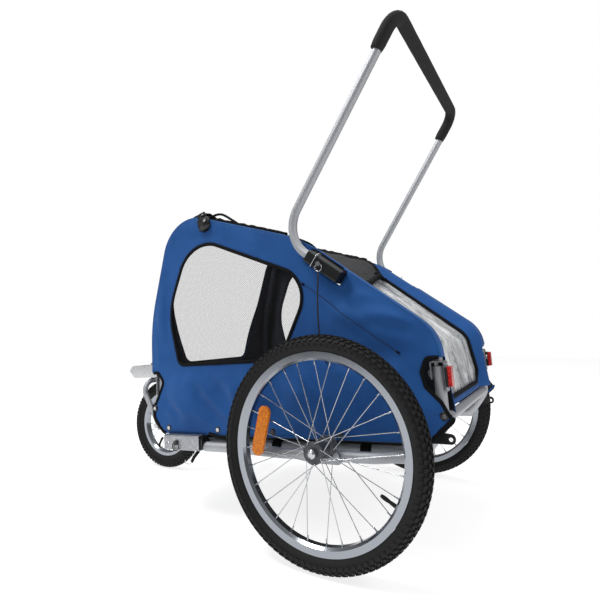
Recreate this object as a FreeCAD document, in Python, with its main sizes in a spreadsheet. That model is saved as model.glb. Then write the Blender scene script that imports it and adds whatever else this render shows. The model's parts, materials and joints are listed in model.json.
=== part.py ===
import FreeCAD, Part
import math
import os

from FreeCAD import Placement, Rotation, Vector

# A dog bike trailer in stroller trim: a cloth cabin on a bent-tube frame, two spoked
# 20 inch wheels, a swivelling 12 inch front wheel on an arm, and a push handle.
# Millimetres. The frame pieces are drawn in the chassis frame: origin midway along the
# rear axle, X forward, Y left, Z square to the floor board. The chassis stands a little
# nose-down, so every piece takes the same chassis placement at the end.

SIZES = {
    # stance
    "chassis_pitch": 4.5,           # nose-down angle, degrees
    "wheel_track": 727,
    "wheel_base": 831,
    # rear wheels
    "rear_tyre_height": 37,         # tread above the rim's edge
    "rear_tyre_width": 47,
    "tread_depth": 4,
    "rear_tread_pitches": 30,
    "rear_rim_diameter": 420,
    "rear_rim_depth": 19,
    "rear_rim_width": 28,
    "rear_spoke_count": 28,
    "rear_flange_diameter": 48,
    "rear_flange_spacing": 56,
    "rear_barrel_diameter": 28,
    "rear_hub_length": 64,
    "rear_axle_diameter": 12,
    # front wheel
    "front_tyre_height": 42.5,
    "front_tyre_width": 42,
    "front_tread_pitches": 24,
    "front_rim_diameter": 226,
    "front_rim_depth": 15,
    "front_rim_width": 24,
    "front_spoke_count": 20,
    "front_flange_diameter": 36,
    "front_flange_spacing": 34,
    "front_barrel_diameter": 20,
    "front_hub_length": 46,
    "front_axle_diameter": 9.5,
    "spoke_diameter": 2,
    "spoke_lead_steps": 4,          # rim-hole steps from hub hole to rim hole
    "flange_thickness": 3,
    # tubes
    "base_tube_diameter": 25,
    "hoop_tube_diameter": 19,
    "cross_tube_diameter": 22,
    "bow_tube_diameter": 16,
    "handle_tube_diameter": 22,
    "fork_tube_diameter": 18,
    "frame_half_width": 262,        # middle of the side tubes
    "frame_bend_radius": 45,
    "base_tube_drop": 20,           # bottom run below the rear axle
    "rear_rise_start": 200,         # corners of the rear rise of the base tube
    "rear_rise_end": 40,
    "front_rise_start": 474,        # and of the front rise
    "front_rise_end": 78,
    # cabin side outline
    "cabin_width": 570,
    "cloth_thickness": 2.5,
    "hem_height": 6,
    "cabin_front": 590,
    "cabin_rear": 273,
    "front_sill_rise": 68,
    "rear_sill_rise": 46,
    "rear_sill_run": 54,
    "knee_height": 318,
    "peak_forward": 498,
    "peak_height": 642,
    "ridge_forward": 64,
    "ridge_height": 489,
    "tail_back": 255,
    "tail_height": 236,
    "hoop_inset": 20,               # hoop tube middle inside the cloth outline
    "door_half_width": 243,         # at its top; it narrows downwards
    "door_waist": 222,
    "door_foot": 148,
    "door_bottom": 190,
    "door_waist_height": 375,
    "door_top": 582,
    "rear_window_half_width": 232,
    "rear_window_bottom": 92,
    "rear_window_forward": 20,      # upper end of the clear window
    "rear_panel_bottom": 62,
    "window_lap": 8,                # mesh and clear sheets lap behind the cloth
    "fall_start": 250,              # half width where the cloth leaves the hoops
    "fall_end": 200,                # and where it has come down to its hang
    "ridge_hang": 33,               # how far it hangs below the outline at the ridge,
    "tail_hang": 42,                # at the tail
    "sill_hang": 24,                # and at the rear sill
    "sheet_thickness": 1,
    # fold brackets and cross tubes
    "post_forward": 570,
    "post_back": 248,
    "bracket_top": 172,
    "bracket_sheet": 3,
    "bracket_depth": 28,
    "bracket_width": 32,
    "bracket_short_side": 38,
    "bracket_long_side": 64,
    "fold_bolt_height": 146,
    "fold_bolt_diameter": 8,
    "upper_cross_height": 128,
    "lower_cross_height": 84,
    "rear_cross_height": 46,
    # axle outriggers
    "outrigger_bow": 18,            # how far the tube swings out at the axle
    "outrigger_drop": 26,
    "outrigger_front": 391,
    "outrigger_back": 205,
    "lug_thickness": 6,
    "lug_width": 56,
    "lug_top": 22,
    # tow receiver
    "receiver_length": 126,
    "receiver_width": 31,
    "receiver_height": 39,
    "receiver_top": 4,
    "receiver_wall": 2.5,
    "spacer_length": 8,
    "tow_pin_diameter": 8,
    "tow_pin_forward": 480,
    "tow_hole_diameter": 6.5,
    "tow_hole_forward": 512,
    # handle
    "handle_half_width": 298.7,
    "handle_lean": 35.9,            # back from the chassis upright, degrees
    "handle_leg": 595,
    "handle_bend_radius": 85,
    "handle_corner_radius": 45,
    "grip_diameter": 34,
    "grip_down_leg": 52,
    "socket_start": 54,             # along the rear slope from the ridge
    "socket_end": 158,
    "socket_height": 30,
    "handle_pin_along": 96,
    "handle_pin_diameter": 6,
    # front arm and fork
    "arm_width": 64,
    "arm_bottom": 142,
    "arm_top": 187,
    "arm_tip": 1000,
    "arm_sheet": 3,
    "arm_plate_thickness": 5,
    "arm_plate_width": 120,
    "arm_bolt_spacing": 84,
    "arm_bolt_diameter": 8,
    "steer_forward": 903,
    "stem_diameter": 16,
    "head_tube_diameter": 30,
    "fork_spacing": 88,
    "fork_top_height": 130,
    "fork_knee_height": 86,
    "fork_bend_radius": 34,
    # floor and trim
    "floor_thickness": 5,
    "stud_diameter": 10,
    "stud_height": 3,
    "reflector_width": 22,
    "reflector_height": 44,
    "reflector_low": 118,
    "reflector_thickness": 8,
    "reflector_base": 6,
    "spoke_reflector_length": 112,
    "spoke_reflector_width": 32,
    "spoke_reflector_thickness": 6,
    "eyelet_hole": 9,
    "eyelet_radius": 10,
    "eyelet_back": 262,
    "eyelet_height": 12,
    "eyelet_thickness": 4,
    "lanyard_diameter": 4,
    # fits
    "running_clearance": 0.05,
    "pin_clearance": 0.1,
    "seat_gap": 0.2,
    "cloth_gap": 0.3,
}

doc = FreeCAD.newDocument("DogBikeTrailer")
sheet = doc.addObject("Spreadsheet::Sheet", "Sizes")
for row, (alias, value) in enumerate(SIZES.items(), 1):
    sheet.set(f"A{row}", alias)
    sheet.set(f"B{row}", str(value))
    sheet.setAlias(f"B{row}", alias)
doc.recompute()

subparts = []


def size(alias):
    return float(sheet.get(alias))


def keep(obj, label, placement):
    """Name a finished sub-part and put it in its place."""
    obj.Label = label
    obj.Placement = placement.multiply(obj.Placement)
    subparts.append(obj)
    return obj


def mirrored(source, label):
    """The right-hand twin of a left-hand sub-part."""
    twin = doc.addObject("Part::Mirroring", label)
    twin.Source = source
    twin.Base = Vector(0, 0, 0)
    twin.Normal = Vector(0, 1, 0)
    twin.Label = label
    subparts.append(twin)
    return twin


def rounded(corners, closed=True):
    """Straight runs joined by tangent arcs through (point, radius) corners."""
    count = len(corners)
    starts = []
    ends = []
    arcs = []
    for index, (point, radius) in enumerate(corners):
        inner = closed or 0 < index < count - 1
        if not inner or radius <= 0:
            starts.append(point)
            ends.append(point)
            arcs.append(None)
            continue
        before = (corners[index - 1][0] - point).normalize()
        after = (corners[(index + 1) % count][0] - point).normalize()
        half_turn = (math.pi - before.getAngle(after)) / 2
        reach = radius * math.tan(half_turn)
        middle = (before + after).normalize() * (radius / math.cos(half_turn) - radius)
        starts.append(point + before * reach)
        ends.append(point + after * reach)
        arcs.append(point + middle)
    pieces = []
    for index in range(count):
        if arcs[index] is not None:
            pieces.append(Part.Arc(starts[index], arcs[index], ends[index]))
        following = (index + 1) % count
        if (closed or index < count - 1) and (starts[following] - ends[index]).Length > 1e-6:
            pieces.append(Part.LineSegment(ends[index], starts[following]))
    return pieces


def flat(points):
    """Corners of a sketch from (u, v, radius) triples."""
    return [(Vector(u, v, 0), radius) for u, v, radius in points]


def inset(points, distance):
    """A convex outline of (u, v, radius) drawn in by a distance, arcs with it."""
    count = len(points)
    turn = sum(points[i][0] * points[(i + 1) % count][1] - points[(i + 1) % count][0] * points[i][1]
               for i in range(count))
    side = 1 if turn > 0 else -1
    moved = []
    for index in range(count):
        before = Vector(*points[index - 1][:2], 0)
        here = Vector(*points[index][:2], 0)
        after = Vector(*points[(index + 1) % count][:2], 0)
        came = (here - before).normalize()
        goes = (after - here).normalize()
        inward_in = Vector(-came.y, came.x, 0) * side
        inward_out = Vector(-goes.y, goes.x, 0) * side
        shift = (inward_in + inward_out) * (distance / (1 + inward_in.dot(inward_out)))
        moved.append((here.x + shift.x, here.y + shift.y, max(points[index][2] - distance, 0)))
    return moved


def plane_of(body, role):
    for feature in body.Origin.OriginFeatures:
        if feature.Role == role:
            return feature


def sketch_on(body, role, loops, offset=0.0):
    """A sketch of closed loops on one of the body's own planes."""
    sketch = body.newObject("Sketcher::SketchObject", body.Name + "Sketch")
    sketch.AttachmentSupport = [(plane_of(body, role), "")]
    sketch.MapMode = "FlatFace"
    sketch.AttachmentOffset = Placement(Vector(0, 0, offset), Rotation())
    for loop in loops:
        for piece in loop:
            sketch.addGeometry(piece, False)
    return sketch


def pad(name, role, loops, length, offset=0.0, midplane=False):
    """A body padded from closed loops by an expression."""
    body = doc.addObject("PartDesign::Body", name)
    sketch = sketch_on(body, role, loops, offset)
    feature = body.newObject("PartDesign::Pad", name + "Pad")
    feature.Profile = sketch
    feature.setExpression("Length", length)
    if midplane:
        feature.SideType = "Symmetric"
    return body


def revolve(name, loop):
    """A body of revolution about Y from a loop of (radius, y)."""
    body = doc.addObject("PartDesign::Body", name)
    sketch = sketch_on(body, "XY_Plane", [loop])
    feature = body.newObject("PartDesign::Revolution", name + "Turn")
    feature.Profile = sketch
    feature.ReferenceAxis = (sketch, ["V_Axis"])
    feature.Angle = 360
    return body


def circle(u, v, radius):
    return [Part.Circle(Vector(u, v, 0), Vector(0, 0, 1), radius)]


def tube(name, corners, radius):
    """A round bar swept along straight runs and arcs."""
    pieces = rounded(corners, closed=False)
    path = doc.addObject("Part::Feature", name + "Path")
    path.Shape = Part.Wire([piece.toShape() for piece in pieces])
    section = doc.addObject("Part::Circle", name + "Section")
    section.setExpression("Radius", radius)
    along = (corners[1][0] - corners[0][0]).normalize()
    section.Placement = Placement(corners[0][0], Rotation(Vector(0, 0, 1), along))
    sweep = doc.addObject("Part::Sweep", name)
    sweep.Sections = [section]
    sweep.Spine = (path, [f"Edge{i + 1}" for i in range(len(pieces))])
    sweep.Solid = True
    return sweep


def rod(name, start, direction, length, radius):
    """A straight round bar; length and radius are expressions."""
    bar = doc.addObject("Part::Cylinder", name)
    bar.setExpression("Radius", radius)
    bar.setExpression("Height", length)
    bar.Placement = Placement(start, Rotation(Vector(0, 0, 1), direction))
    return bar


def block(name, low, high):
    """A plain box between two corners."""
    box = doc.addObject("Part::Box", name)
    box.Length = high.x - low.x
    box.Width = high.y - low.y
    box.Height = high.z - low.z
    box.Placement = Placement(low, Rotation())
    return box


def group(name, pieces):
    compound = doc.addObject("Part::Compound", name)
    compound.Links = pieces
    return compound


def both_sides(name, pieces):
    """Left-hand pieces and their mirror twins as one group."""
    left = group(name + "Left", pieces)
    right = doc.addObject("Part::Mirroring", name + "Right")
    right.Source = left
    right.Base = Vector(0, 0, 0)
    right.Normal = Vector(0, 1, 0)
    return group(name, [left, right])


def joined(name, pieces):
    fuse = doc.addObject("Part::MultiFuse", name)
    fuse.Shapes = pieces
    return fuse


def cut(name, base, tools):
    result = doc.addObject("Part::Cut", name)
    result.Base = base
    result.Tool = tools[0] if len(tools) == 1 else group(name + "Tools", tools)
    return result


def common(name, base, tool):
    result = doc.addObject("Part::Common", name)
    result.Base = base
    result.Tool = tool
    return result


X_AXIS = Vector(1, 0, 0)
Y_AXIS = Vector(0, 1, 0)
Z_AXIS = Vector(0, 0, 1)

# Places that several pieces share, in the chassis frame
pitch = math.radians(size("chassis_pitch"))
rear_rim_r = size("rear_rim_diameter") / 2
front_rim_r = size("front_rim_diameter") / 2
rear_radius = rear_rim_r + size("rear_tyre_height")
front_radius = front_rim_r + size("front_tyre_height")
axle_drop = front_radius - rear_radius
front_axle_x = size("wheel_base") * math.cos(pitch) - axle_drop * math.sin(pitch)
front_axle_z = size("wheel_base") * math.sin(pitch) + axle_drop * math.cos(pitch)
half_track = size("wheel_track") / 2
side_y = size("frame_half_width")
base_z = -size("base_tube_drop")
base_r = size("base_tube_diameter") / 2
hoop_r = size("hoop_tube_diameter") / 2
cloth_y = size("cabin_width") / 2
cloth = size("cloth_thickness")
gap = size("seat_gap")
cloth_gap = size("cloth_gap")
post_front = size("post_forward")
post_rear = -size("post_back")
HOLE_REACH = 30                    # how far a drill runs each side of a tube's middle

# The cabin's side outline, counter-clockwise seen from the left: corners (x, z, radius)
hem = size("hem_height")
front_x = size("cabin_front")
rear_x = -size("cabin_rear")
sill_rise = size("front_sill_rise")
cabin_outline = [
    (rear_x + size("rear_sill_run"), hem, 20),
    (front_x - sill_rise, hem, 30),
    (front_x, hem + sill_rise, 40),
    (front_x, size("knee_height"), 500),
    (size("peak_forward"), size("peak_height"), 115),
    (size("ridge_forward"), size("ridge_height"), 400),
    (-size("tail_back"), size("tail_height"), 100),
    (rear_x, hem + size("rear_sill_rise"), 12),
]
hoop_outline = inset(cabin_outline, size("hoop_inset"))

# Side window, the same way round
window_outline = [
    (137, 187, 20),
    (486, 187, 20),
    (533, 350, 140),
    (440, 572, 95),
    (45, 400, 55),
]

# The rear slope: the side rail and the handle sockets run along it from the ridge
ridge_x, ridge_z = hoop_outline[5][:2]
heel_x, heel_z = hoop_outline[6][:2]
slope_down = Vector(heel_x - ridge_x, 0, heel_z - ridge_z).normalize()
slope_out = Vector(slope_down.z, 0, -slope_down.x)
ridge = Vector(ridge_x, 0, ridge_z)


def on_slope(along, y=0.0, out=0.0):
    """A point on the rear slope, measured down from the ridge."""
    return ridge + slope_down * along + slope_out * out + Vector(0, y, 0)


# Origin under the middle of the part's length
tail_x = -size("eyelet_back") - size("eyelet_radius")
tail_end = tail_x * math.cos(pitch) + size("eyelet_height") * math.sin(pitch)
nose_z = size("arm_top") - 17
nose_end = size("arm_tip") * math.cos(pitch) + nose_z * math.sin(pitch)
origin_x = (tail_end + nose_end) / 2
chassis = Placement(Vector(-origin_x, 0, rear_radius), Rotation(Y_AXIS, size("chassis_pitch")))
left_hub = chassis.multiply(Placement(Vector(0, half_track, 0), Rotation()))
front_hub = chassis.multiply(Placement(Vector(front_axle_x, 0, front_axle_z), Rotation()))


# Wheels
def tyre(name, radius, width, rim_radius, rim_width, depth, pitches):
    """A round-crowned tyre with two staggered rows of tread blocks on each side."""
    crown = radius - depth
    shoulder = crown - width * 0.32
    rise = crown - shoulder
    arch = ((width / 2) ** 2 + rise ** 2) / (2 * rise)
    seat = rim_radius + gap
    mid_wall = (seat + shoulder) / 2 - 0.7
    half = width / 2
    bead = rim_width / 2 - 1
    loop = [
        Part.LineSegment(Vector(seat, bead, 0), Vector(seat, -bead, 0)),
        Part.Arc(Vector(seat, -bead, 0), Vector(mid_wall, -half * 0.93, 0), Vector(shoulder, -half, 0)),
        Part.Arc(Vector(shoulder, -half, 0), Vector(crown, 0, 0), Vector(shoulder, half, 0)),
        Part.Arc(Vector(shoulder, half, 0), Vector(mid_wall, half * 0.93, 0), Vector(seat, bead, 0)),
    ]
    body = revolve(name, loop)
    block_angle = 360 / pitches * 0.62
    bite = 1.0

    def crown_at(y):
        return crown - arch + math.sqrt(arch ** 2 - y ** 2)

    rows = [(0.05, 0.44, 0.0), (0.52, 0.88, 0.5)]
    for side in (1, -1):
        for number, (inner, outer, stagger) in enumerate(rows):
            low = half * inner * side
            high = half * outer * side
            corners = flat([
                (crown_at(low) - bite, low, 0),
                (crown_at(low) + depth - 0.12 * depth * number, low, 0),
                (crown_at(high) + depth * 0.75, high, 0),
                (crown_at(high) - bite, high, 0),
            ])
            sketch = sketch_on(body, "XY_Plane", [rounded(corners)])
            turn = 360 / pitches * ((stagger + (0.25 if side > 0 else 0.75)) % 1.0)
            sketch.AttachmentOffset = Placement(Vector(0, 0, 0), Rotation(Y_AXIS, turn))
            knob = body.newObject("PartDesign::Revolution", f"{name}Block")
            knob.Profile = sketch
            knob.ReferenceAxis = (plane_of(body, "Y_Axis"), [""])
            knob.Angle = block_angle
            doc.recompute()
            pattern = body.newObject("PartDesign::PolarPattern", f"{name}Row")
            pattern.Originals = [knob]
            pattern.Axis = (plane_of(body, "Y_Axis"), [""])
            pattern.Angle = 360
            pattern.Occurrences = pitches
            body.Tip = pattern
            doc.recompute()
    return body


def rim(name, radius, depth, width):
    """A double-wall rim section turned about the axle."""
    half = width / 2
    wall = 2.0
    bed = radius - 7
    return revolve(name, rounded(flat([
        (radius - depth, -half * 0.5, 0),
        (radius - depth + 5, -half + 1, 0),
        (radius, -half, 0),
        (radius, -half + wall, 0),
        (bed, -half + wall + 1.5, 0),
        (bed, half - wall - 1.5, 0),
        (radius, half - wall, 0),
        (radius, half, 0),
        (radius - depth + 5, half - 1, 0),
        (radius - depth, half * 0.5, 0),
    ])))


def hub(name, bore, barrel, flange, spacing, length):
    """A hub shell with bevelled flanges and a through bore."""
    thick = size("flange_thickness")
    bevel = 1.5
    face = spacing / 2 + thick / 2
    seat = flange - 4
    boss = bore + 5
    half = length / 2
    side = [
        (bore, half),
        (boss, half),
        (boss, face),
        (seat, face),
        (flange, face - bevel),
        (flange, face - thick),
        (seat - 2.5, face - thick),
        (barrel, face - thick - 4),
    ]
    lower = [(radius, -y, 0) for radius, y in side]
    upper = [(radius, y, 0) for radius, y in reversed(side)]
    return revolve(name, rounded(flat(lower + upper)))


def spoke_ends(number, count, flange, spacing, rim_inner):
    """Hub and rim ends of one spoke; heads sit outside and inside each flange in turn."""
    step = 2 * math.pi / count
    lead = size("spoke_lead_steps") * step
    offset = size("flange_thickness") / 2 + size("spoke_diameter") / 2 + gap
    circle_radius = flange - 3.5
    end_radius = rim_inner - 0.7
    at_rim = number * step
    side = 1 if number % 2 == 0 else -1
    leading = number % 4 < 2
    at_hub = at_rim - lead if leading else at_rim + lead
    head_y = side * (spacing / 2 + (offset if leading else -offset))
    end_y = side * (4.5 if leading else 2.0)
    head = Vector(circle_radius * math.cos(at_hub), head_y, circle_radius * math.sin(at_hub))
    end = Vector(end_radius * math.cos(at_rim), end_y, end_radius * math.sin(at_rim))
    return head, end


def spokes(name, count, flange, spacing, rim_inner):
    """A full set of crossed spokes."""
    bars = []
    for number in range(count):
        head, end = spoke_ends(number, count, flange, spacing, rim_inner)
        reach = end - head
        bars.append(Part.makeCylinder(size("spoke_diameter") / 2, reach.Length, head, reach))
    feature = doc.addObject("Part::Feature", name)
    feature.Shape = Part.makeCompound(bars)
    return feature


rear_flange_r = size("rear_flange_diameter") / 2
rear_axle_r = size("rear_axle_diameter") / 2
left_tyre = keep(
    tyre("LeftTyre", rear_radius, size("rear_tyre_width"), rear_rim_r, size("rear_rim_width"),
         size("tread_depth"), int(size("rear_tread_pitches"))),
    "left_tyre", left_hub)
left_rim = keep(
    rim("LeftRim", rear_rim_r, size("rear_rim_depth"), size("rear_rim_width")),
    "left_rim", left_hub)
left_hub_shell = keep(
    hub("LeftHub", rear_axle_r + size("running_clearance"), size("rear_barrel_diameter") / 2, rear_flange_r,
        size("rear_flange_spacing"), size("rear_hub_length")),
    "left_hub", left_hub)
left_spokes = keep(
    spokes("LeftSpokes", int(size("rear_spoke_count")), rear_flange_r, size("rear_flange_spacing"),
           rear_rim_r - size("rear_rim_depth")),
    "left_spokes", left_hub)

# Amber reflector, clipped across the outer spokes ahead of the hub and leaning in with them
amber_half = size("spoke_reflector_length") / 2
amber_loop = rounded(flat([
    (-size("spoke_reflector_width") / 2, -amber_half, 15),
    (size("spoke_reflector_width") / 2, -amber_half, 15),
    (size("spoke_reflector_width") / 2, amber_half, 15),
    (-size("spoke_reflector_width") / 2, amber_half, 15),
]))
amber_radius = rear_rim_r - size("rear_rim_depth") - 45
amber_angle = 16
amber_lean = 8
amber_seat = 11.6
amber = pad("LeftSpokeReflector", "XZ_Plane", [amber_loop], "Sizes.spoke_reflector_thickness")
amber_place = Placement(Vector(0, 0, 0), Rotation(Y_AXIS, -amber_angle)).multiply(
    Placement(Vector(amber_radius, amber_seat + size("spoke_reflector_thickness"), 0),
              Rotation(Z_AXIS, -amber_lean)))
left_amber = keep(amber, "left_spoke_reflector", left_hub.multiply(amber_place))

front_flange_r = size("front_flange_diameter") / 2
front_axle_r = size("front_axle_diameter") / 2
keep(tyre("FrontTyre", front_radius, size("front_tyre_width"), front_rim_r, size("front_rim_width"),
          size("tread_depth"), int(size("front_tread_pitches"))),
     "front_tyre", front_hub)
keep(rim("FrontRim", front_rim_r, size("front_rim_depth"), size("front_rim_width")),
     "front_rim", front_hub)
keep(hub("FrontHub", front_axle_r + size("running_clearance"), size("front_barrel_diameter") / 2,
         front_flange_r, size("front_flange_spacing"), size("front_hub_length")),
     "front_hub", front_hub)
keep(spokes("FrontSpokes", int(size("front_spoke_count")), front_flange_r, size("front_flange_spacing"),
            front_rim_r - size("front_rim_depth")),
     "front_spokes", front_hub)
for source, label in ((left_tyre, "right_tyre"), (left_rim, "right_rim"), (left_hub_shell, "right_hub"),
                      (left_spokes, "right_spokes"), (left_amber, "right_spoke_reflector")):
    mirrored(source, label)


# Bent-tube frame
def path_xz(points, y):
    return [(Vector(x, y, z), radius) for x, z, radius in points]


bend = size("frame_bend_radius")
post_top = size("bracket_top") - size("bracket_sheet") - 8
rear_rise_x = -size("rear_rise_start")
rear_rise_z = size("rear_rise_end")
base_path = path_xz([
    (post_front, post_top, 0),
    (post_front, size("front_rise_end"), bend),
    (size("front_rise_start"), base_z, bend),
    (rear_rise_x, base_z, bend),
    (post_rear, rear_rise_z, bend),
    (post_rear, post_top, 0),
], side_y)
bolt_z = size("fold_bolt_height")
bolt_hole = "Sizes.fold_bolt_diameter / 2 + Sizes.pin_clearance"


def fold_hole(name, x, y):
    return rod(name, Vector(x - HOLE_REACH, y, bolt_z), X_AXIS, str(2 * HOLE_REACH), bolt_hole)


left_base = keep(
    cut("LeftBaseTube", tube("LeftBaseSweep", base_path, "Sizes.base_tube_diameter / 2"),
        [fold_hole("FrontPostHole", post_front, side_y), fold_hole("RearPostHole", post_rear, side_y)]),
    "left_base_tube", chassis)
mirrored(left_base, "right_base_tube")

outrigger_z = -size("outrigger_drop")
stand_off = 2 * base_r + gap
outrigger_y = side_y + math.sqrt(stand_off ** 2 - (outrigger_z - base_z) ** 2)
axle_y = outrigger_y + size("outrigger_bow")
outrigger_path = [
    (Vector(size("outrigger_front"), outrigger_y, outrigger_z), 0),
    (Vector(300, outrigger_y, outrigger_z), 150),
    (Vector(140, axle_y, outrigger_z), 150),
    (Vector(-100, axle_y, outrigger_z), 90),
    (Vector(-145, outrigger_y, outrigger_z), 90),
    (Vector(-size("outrigger_back"), outrigger_y, outrigger_z), 0),
]
left_outrigger = keep(tube("LeftOutrigger", outrigger_path, "Sizes.base_tube_diameter / 2"),
                      "left_outrigger", chassis)
mirrored(left_outrigger, "right_outrigger")

# Axle lug outside the outrigger, and the stub axle through it
lug_y = axle_y + base_r + gap
lug_half = size("lug_width") / 2
lug_loop = rounded(flat([
    (-lug_half, outrigger_z - 14, 5),
    (lug_half, outrigger_z - 14, 5),
    (lug_half * 0.55, size("lug_top"), 14),
    (-lug_half * 0.55, size("lug_top"), 14),
]))
lug_far = lug_y + size("lug_thickness")
lug_bore = circle(0, 0, rear_axle_r + gap)
lug = pad("LeftAxleLug", "XZ_Plane", [lug_loop, lug_bore], "Sizes.lug_thickness", -lug_far)
keep(both_sides("AxleLugs", [lug]), "axle_lugs", chassis)

hub_half = size("rear_hub_length") / 2
hub_in = half_track - hub_half - cloth_gap
hub_out = half_track + hub_half + cloth_gap
axle_profile = rounded(flat([
    (0, lug_y - 8, 0),
    (rear_axle_r, lug_y - 8, 0),
    (rear_axle_r, lug_y - gap - 6, 0),
    (9.5, lug_y - gap - 6, 0),
    (9.5, lug_y - gap, 0),
    (rear_axle_r, lug_y - gap, 0),
    (rear_axle_r, lug_far + gap, 0),
    (9, lug_far + gap, 0),
    (9, hub_in, 0),
    (rear_axle_r, hub_in, 0),
    (rear_axle_r, hub_out, 0),
    (9.5, hub_out, 0),
    (9.5, hub_out + 5, 0),
    (5, hub_out + 8.5, 0),
    (0, hub_out + 8.5, 0),
]))
keep(both_sides("RearAxles", [revolve("LeftAxle", axle_profile)]), "rear_axles", chassis)

# Cross tubes between the two base tubes
cross_end = side_y - base_r - gap
cross_length = "2 * (Sizes.frame_half_width - Sizes.base_tube_diameter / 2 - Sizes.seat_gap)"


def cross_tube(name, x, z):
    return rod(name, Vector(x, -cross_end, z), Y_AXIS, cross_length, "Sizes.cross_tube_diameter / 2")


arm_bolt_y = size("arm_bolt_spacing") / 2
arm_bolt_hole = "Sizes.arm_bolt_diameter / 2 + Sizes.pin_clearance"
front_cross_tubes = []
for z in (size("upper_cross_height"), size("lower_cross_height")):
    holes = [rod("CrossTubeHole", Vector(post_front - HOLE_REACH, y, z), X_AXIS, str(2 * HOLE_REACH),
                 arm_bolt_hole)
             for y in (arm_bolt_y, -arm_bolt_y)]
    front_cross_tubes.append(cut("FrontCrossTube", cross_tube("FrontCrossBar", post_front, z), holes))
keep(group("FrontCrossTubes", front_cross_tubes), "front_cross_tubes", chassis)
keep(cross_tube("AxleCrossTube", 0, base_z), "axle_cross_tube", chassis)
rear_cross_z = size("rear_cross_height")
rear_cross_x = post_rear + 1
keep(cross_tube("RearCrossTube", rear_cross_x, rear_cross_z), "rear_cross_tube", chassis)

# Side hoops that carry the cloth, standing on the four fold brackets
hoop_foot = size("bracket_top") + gap
heel = ridge + slope_down * ((post_rear - ridge.x) / slope_down.x)
hoop_line = ([(post_front, hoop_foot, 0)] + hoop_outline[3:6]
             + [(heel.x, heel.z, hoop_outline[6][2]), (post_rear, hoop_foot, 0)])
hoop_path = path_xz(hoop_line, side_y)
pin_at = on_slope(size("handle_pin_along"))
pin_hole = "Sizes.handle_pin_diameter / 2 + Sizes.pin_clearance"
hoop_hole = rod("HoopPinHole", pin_at + Vector(0, side_y - HOLE_REACH, 0), Y_AXIS,
                str(2 * HOLE_REACH), pin_hole)
left_hoop = keep(
    cut("LeftSideHoop", tube("LeftHoopSweep", hoop_path, "Sizes.hoop_tube_diameter / 2"), [hoop_hole]),
    "left_side_hoop", chassis)
mirrored(left_hoop, "right_side_hoop")

HOOP_PEAK = 2
bow_end = side_y - hoop_r - gap
bow_length = "2 * (Sizes.frame_half_width - Sizes.hoop_tube_diameter / 2 - Sizes.seat_gap)"


def bend_middle(outline, index):
    """The middle of the arc that rounds one corner of an outline."""
    near = flat(outline[index - 1:index + 2])
    arc = [piece for piece in rounded(near, closed=False) if isinstance(piece, Part.Arc)][0]
    middle = arc.value((arc.FirstParameter + arc.LastParameter) / 2)
    return middle.x, middle.y


bow_x, bow_z = bend_middle(hoop_line, HOOP_PEAK)
keep(rod("RoofBow", Vector(bow_x, -bow_end, bow_z), Y_AXIS, bow_length, "Sizes.bow_tube_diameter / 2"),
     "roof_bows", chassis)

# Fold brackets: an inverted U over each post, the longer side outwards
sheet_t = size("bracket_sheet")
bracket_top = size("bracket_top")
bracket_half = size("bracket_width") / 2


def fold_bracket(name, x, outward):
    half = bracket_half
    inner = half - sheet_t
    low_short = bracket_top - size("bracket_short_side")
    low_long = bracket_top - size("bracket_long_side")
    loop = rounded(flat([
        (x + outward * half, low_long, 0),
        (x + outward * half, bracket_top, 5),
        (x - outward * half, bracket_top, 5),
        (x - outward * half, low_short, 0),
        (x - outward * inner, low_short, 0),
        (x - outward * inner, bracket_top - sheet_t, 2),
        (x + outward * inner, bracket_top - sheet_t, 2),
        (x + outward * inner, low_long, 0),
    ]))
    strip_from = -side_y - size("bracket_depth") / 2
    strip = pad(name + "Strip", "XZ_Plane", [loop], "Sizes.bracket_depth", strip_from)
    return cut(name, strip, [fold_hole(name + "Hole", x, side_y)])


def bolt(name, head_face, direction, grip, shank_radius):
    """A hex bolt and nut clamping a grip length, head at head_face."""
    turn = Rotation(Z_AXIS, direction)
    head_height = 5.3
    across = shank_radius * 1.85
    nut_height = 6.0
    shank = rod(name + "Shank", head_face, direction, str(grip + nut_height + 2), str(shank_radius))
    head = doc.addObject("Part::Prism", name + "Head")
    head.Polygon = 6
    head.Circumradius = across
    head.Height = head_height
    head.Placement = Placement(head_face - direction * head_height, turn)
    nut = doc.addObject("Part::Prism", name + "Nut")
    nut.Polygon = 6
    nut.Circumradius = across
    nut.Height = nut_height
    nut.Placement = Placement(head_face + direction * (grip + gap), turn)
    return joined(name, [shank, head, nut])


keep(both_sides("FoldBrackets", [fold_bracket("FrontBracket", post_front, 1),
                                 fold_bracket("RearBracket", post_rear, -1)]),
     "fold_brackets", chassis)
fold_bolt_r = size("fold_bolt_diameter") / 2
fold_grip = size("bracket_width") + gap
fold_bolts = [
    bolt("FrontFoldBolt", Vector(post_front + bracket_half + gap, side_y, bolt_z), X_AXIS * -1,
         fold_grip, fold_bolt_r),
    bolt("RearFoldBolt", Vector(post_rear - bracket_half - gap, side_y, bolt_z), X_AXIS,
         fold_grip, fold_bolt_r),
]
keep(both_sides("FoldBolts", fold_bolts), "fold_bolts", chassis)

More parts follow.
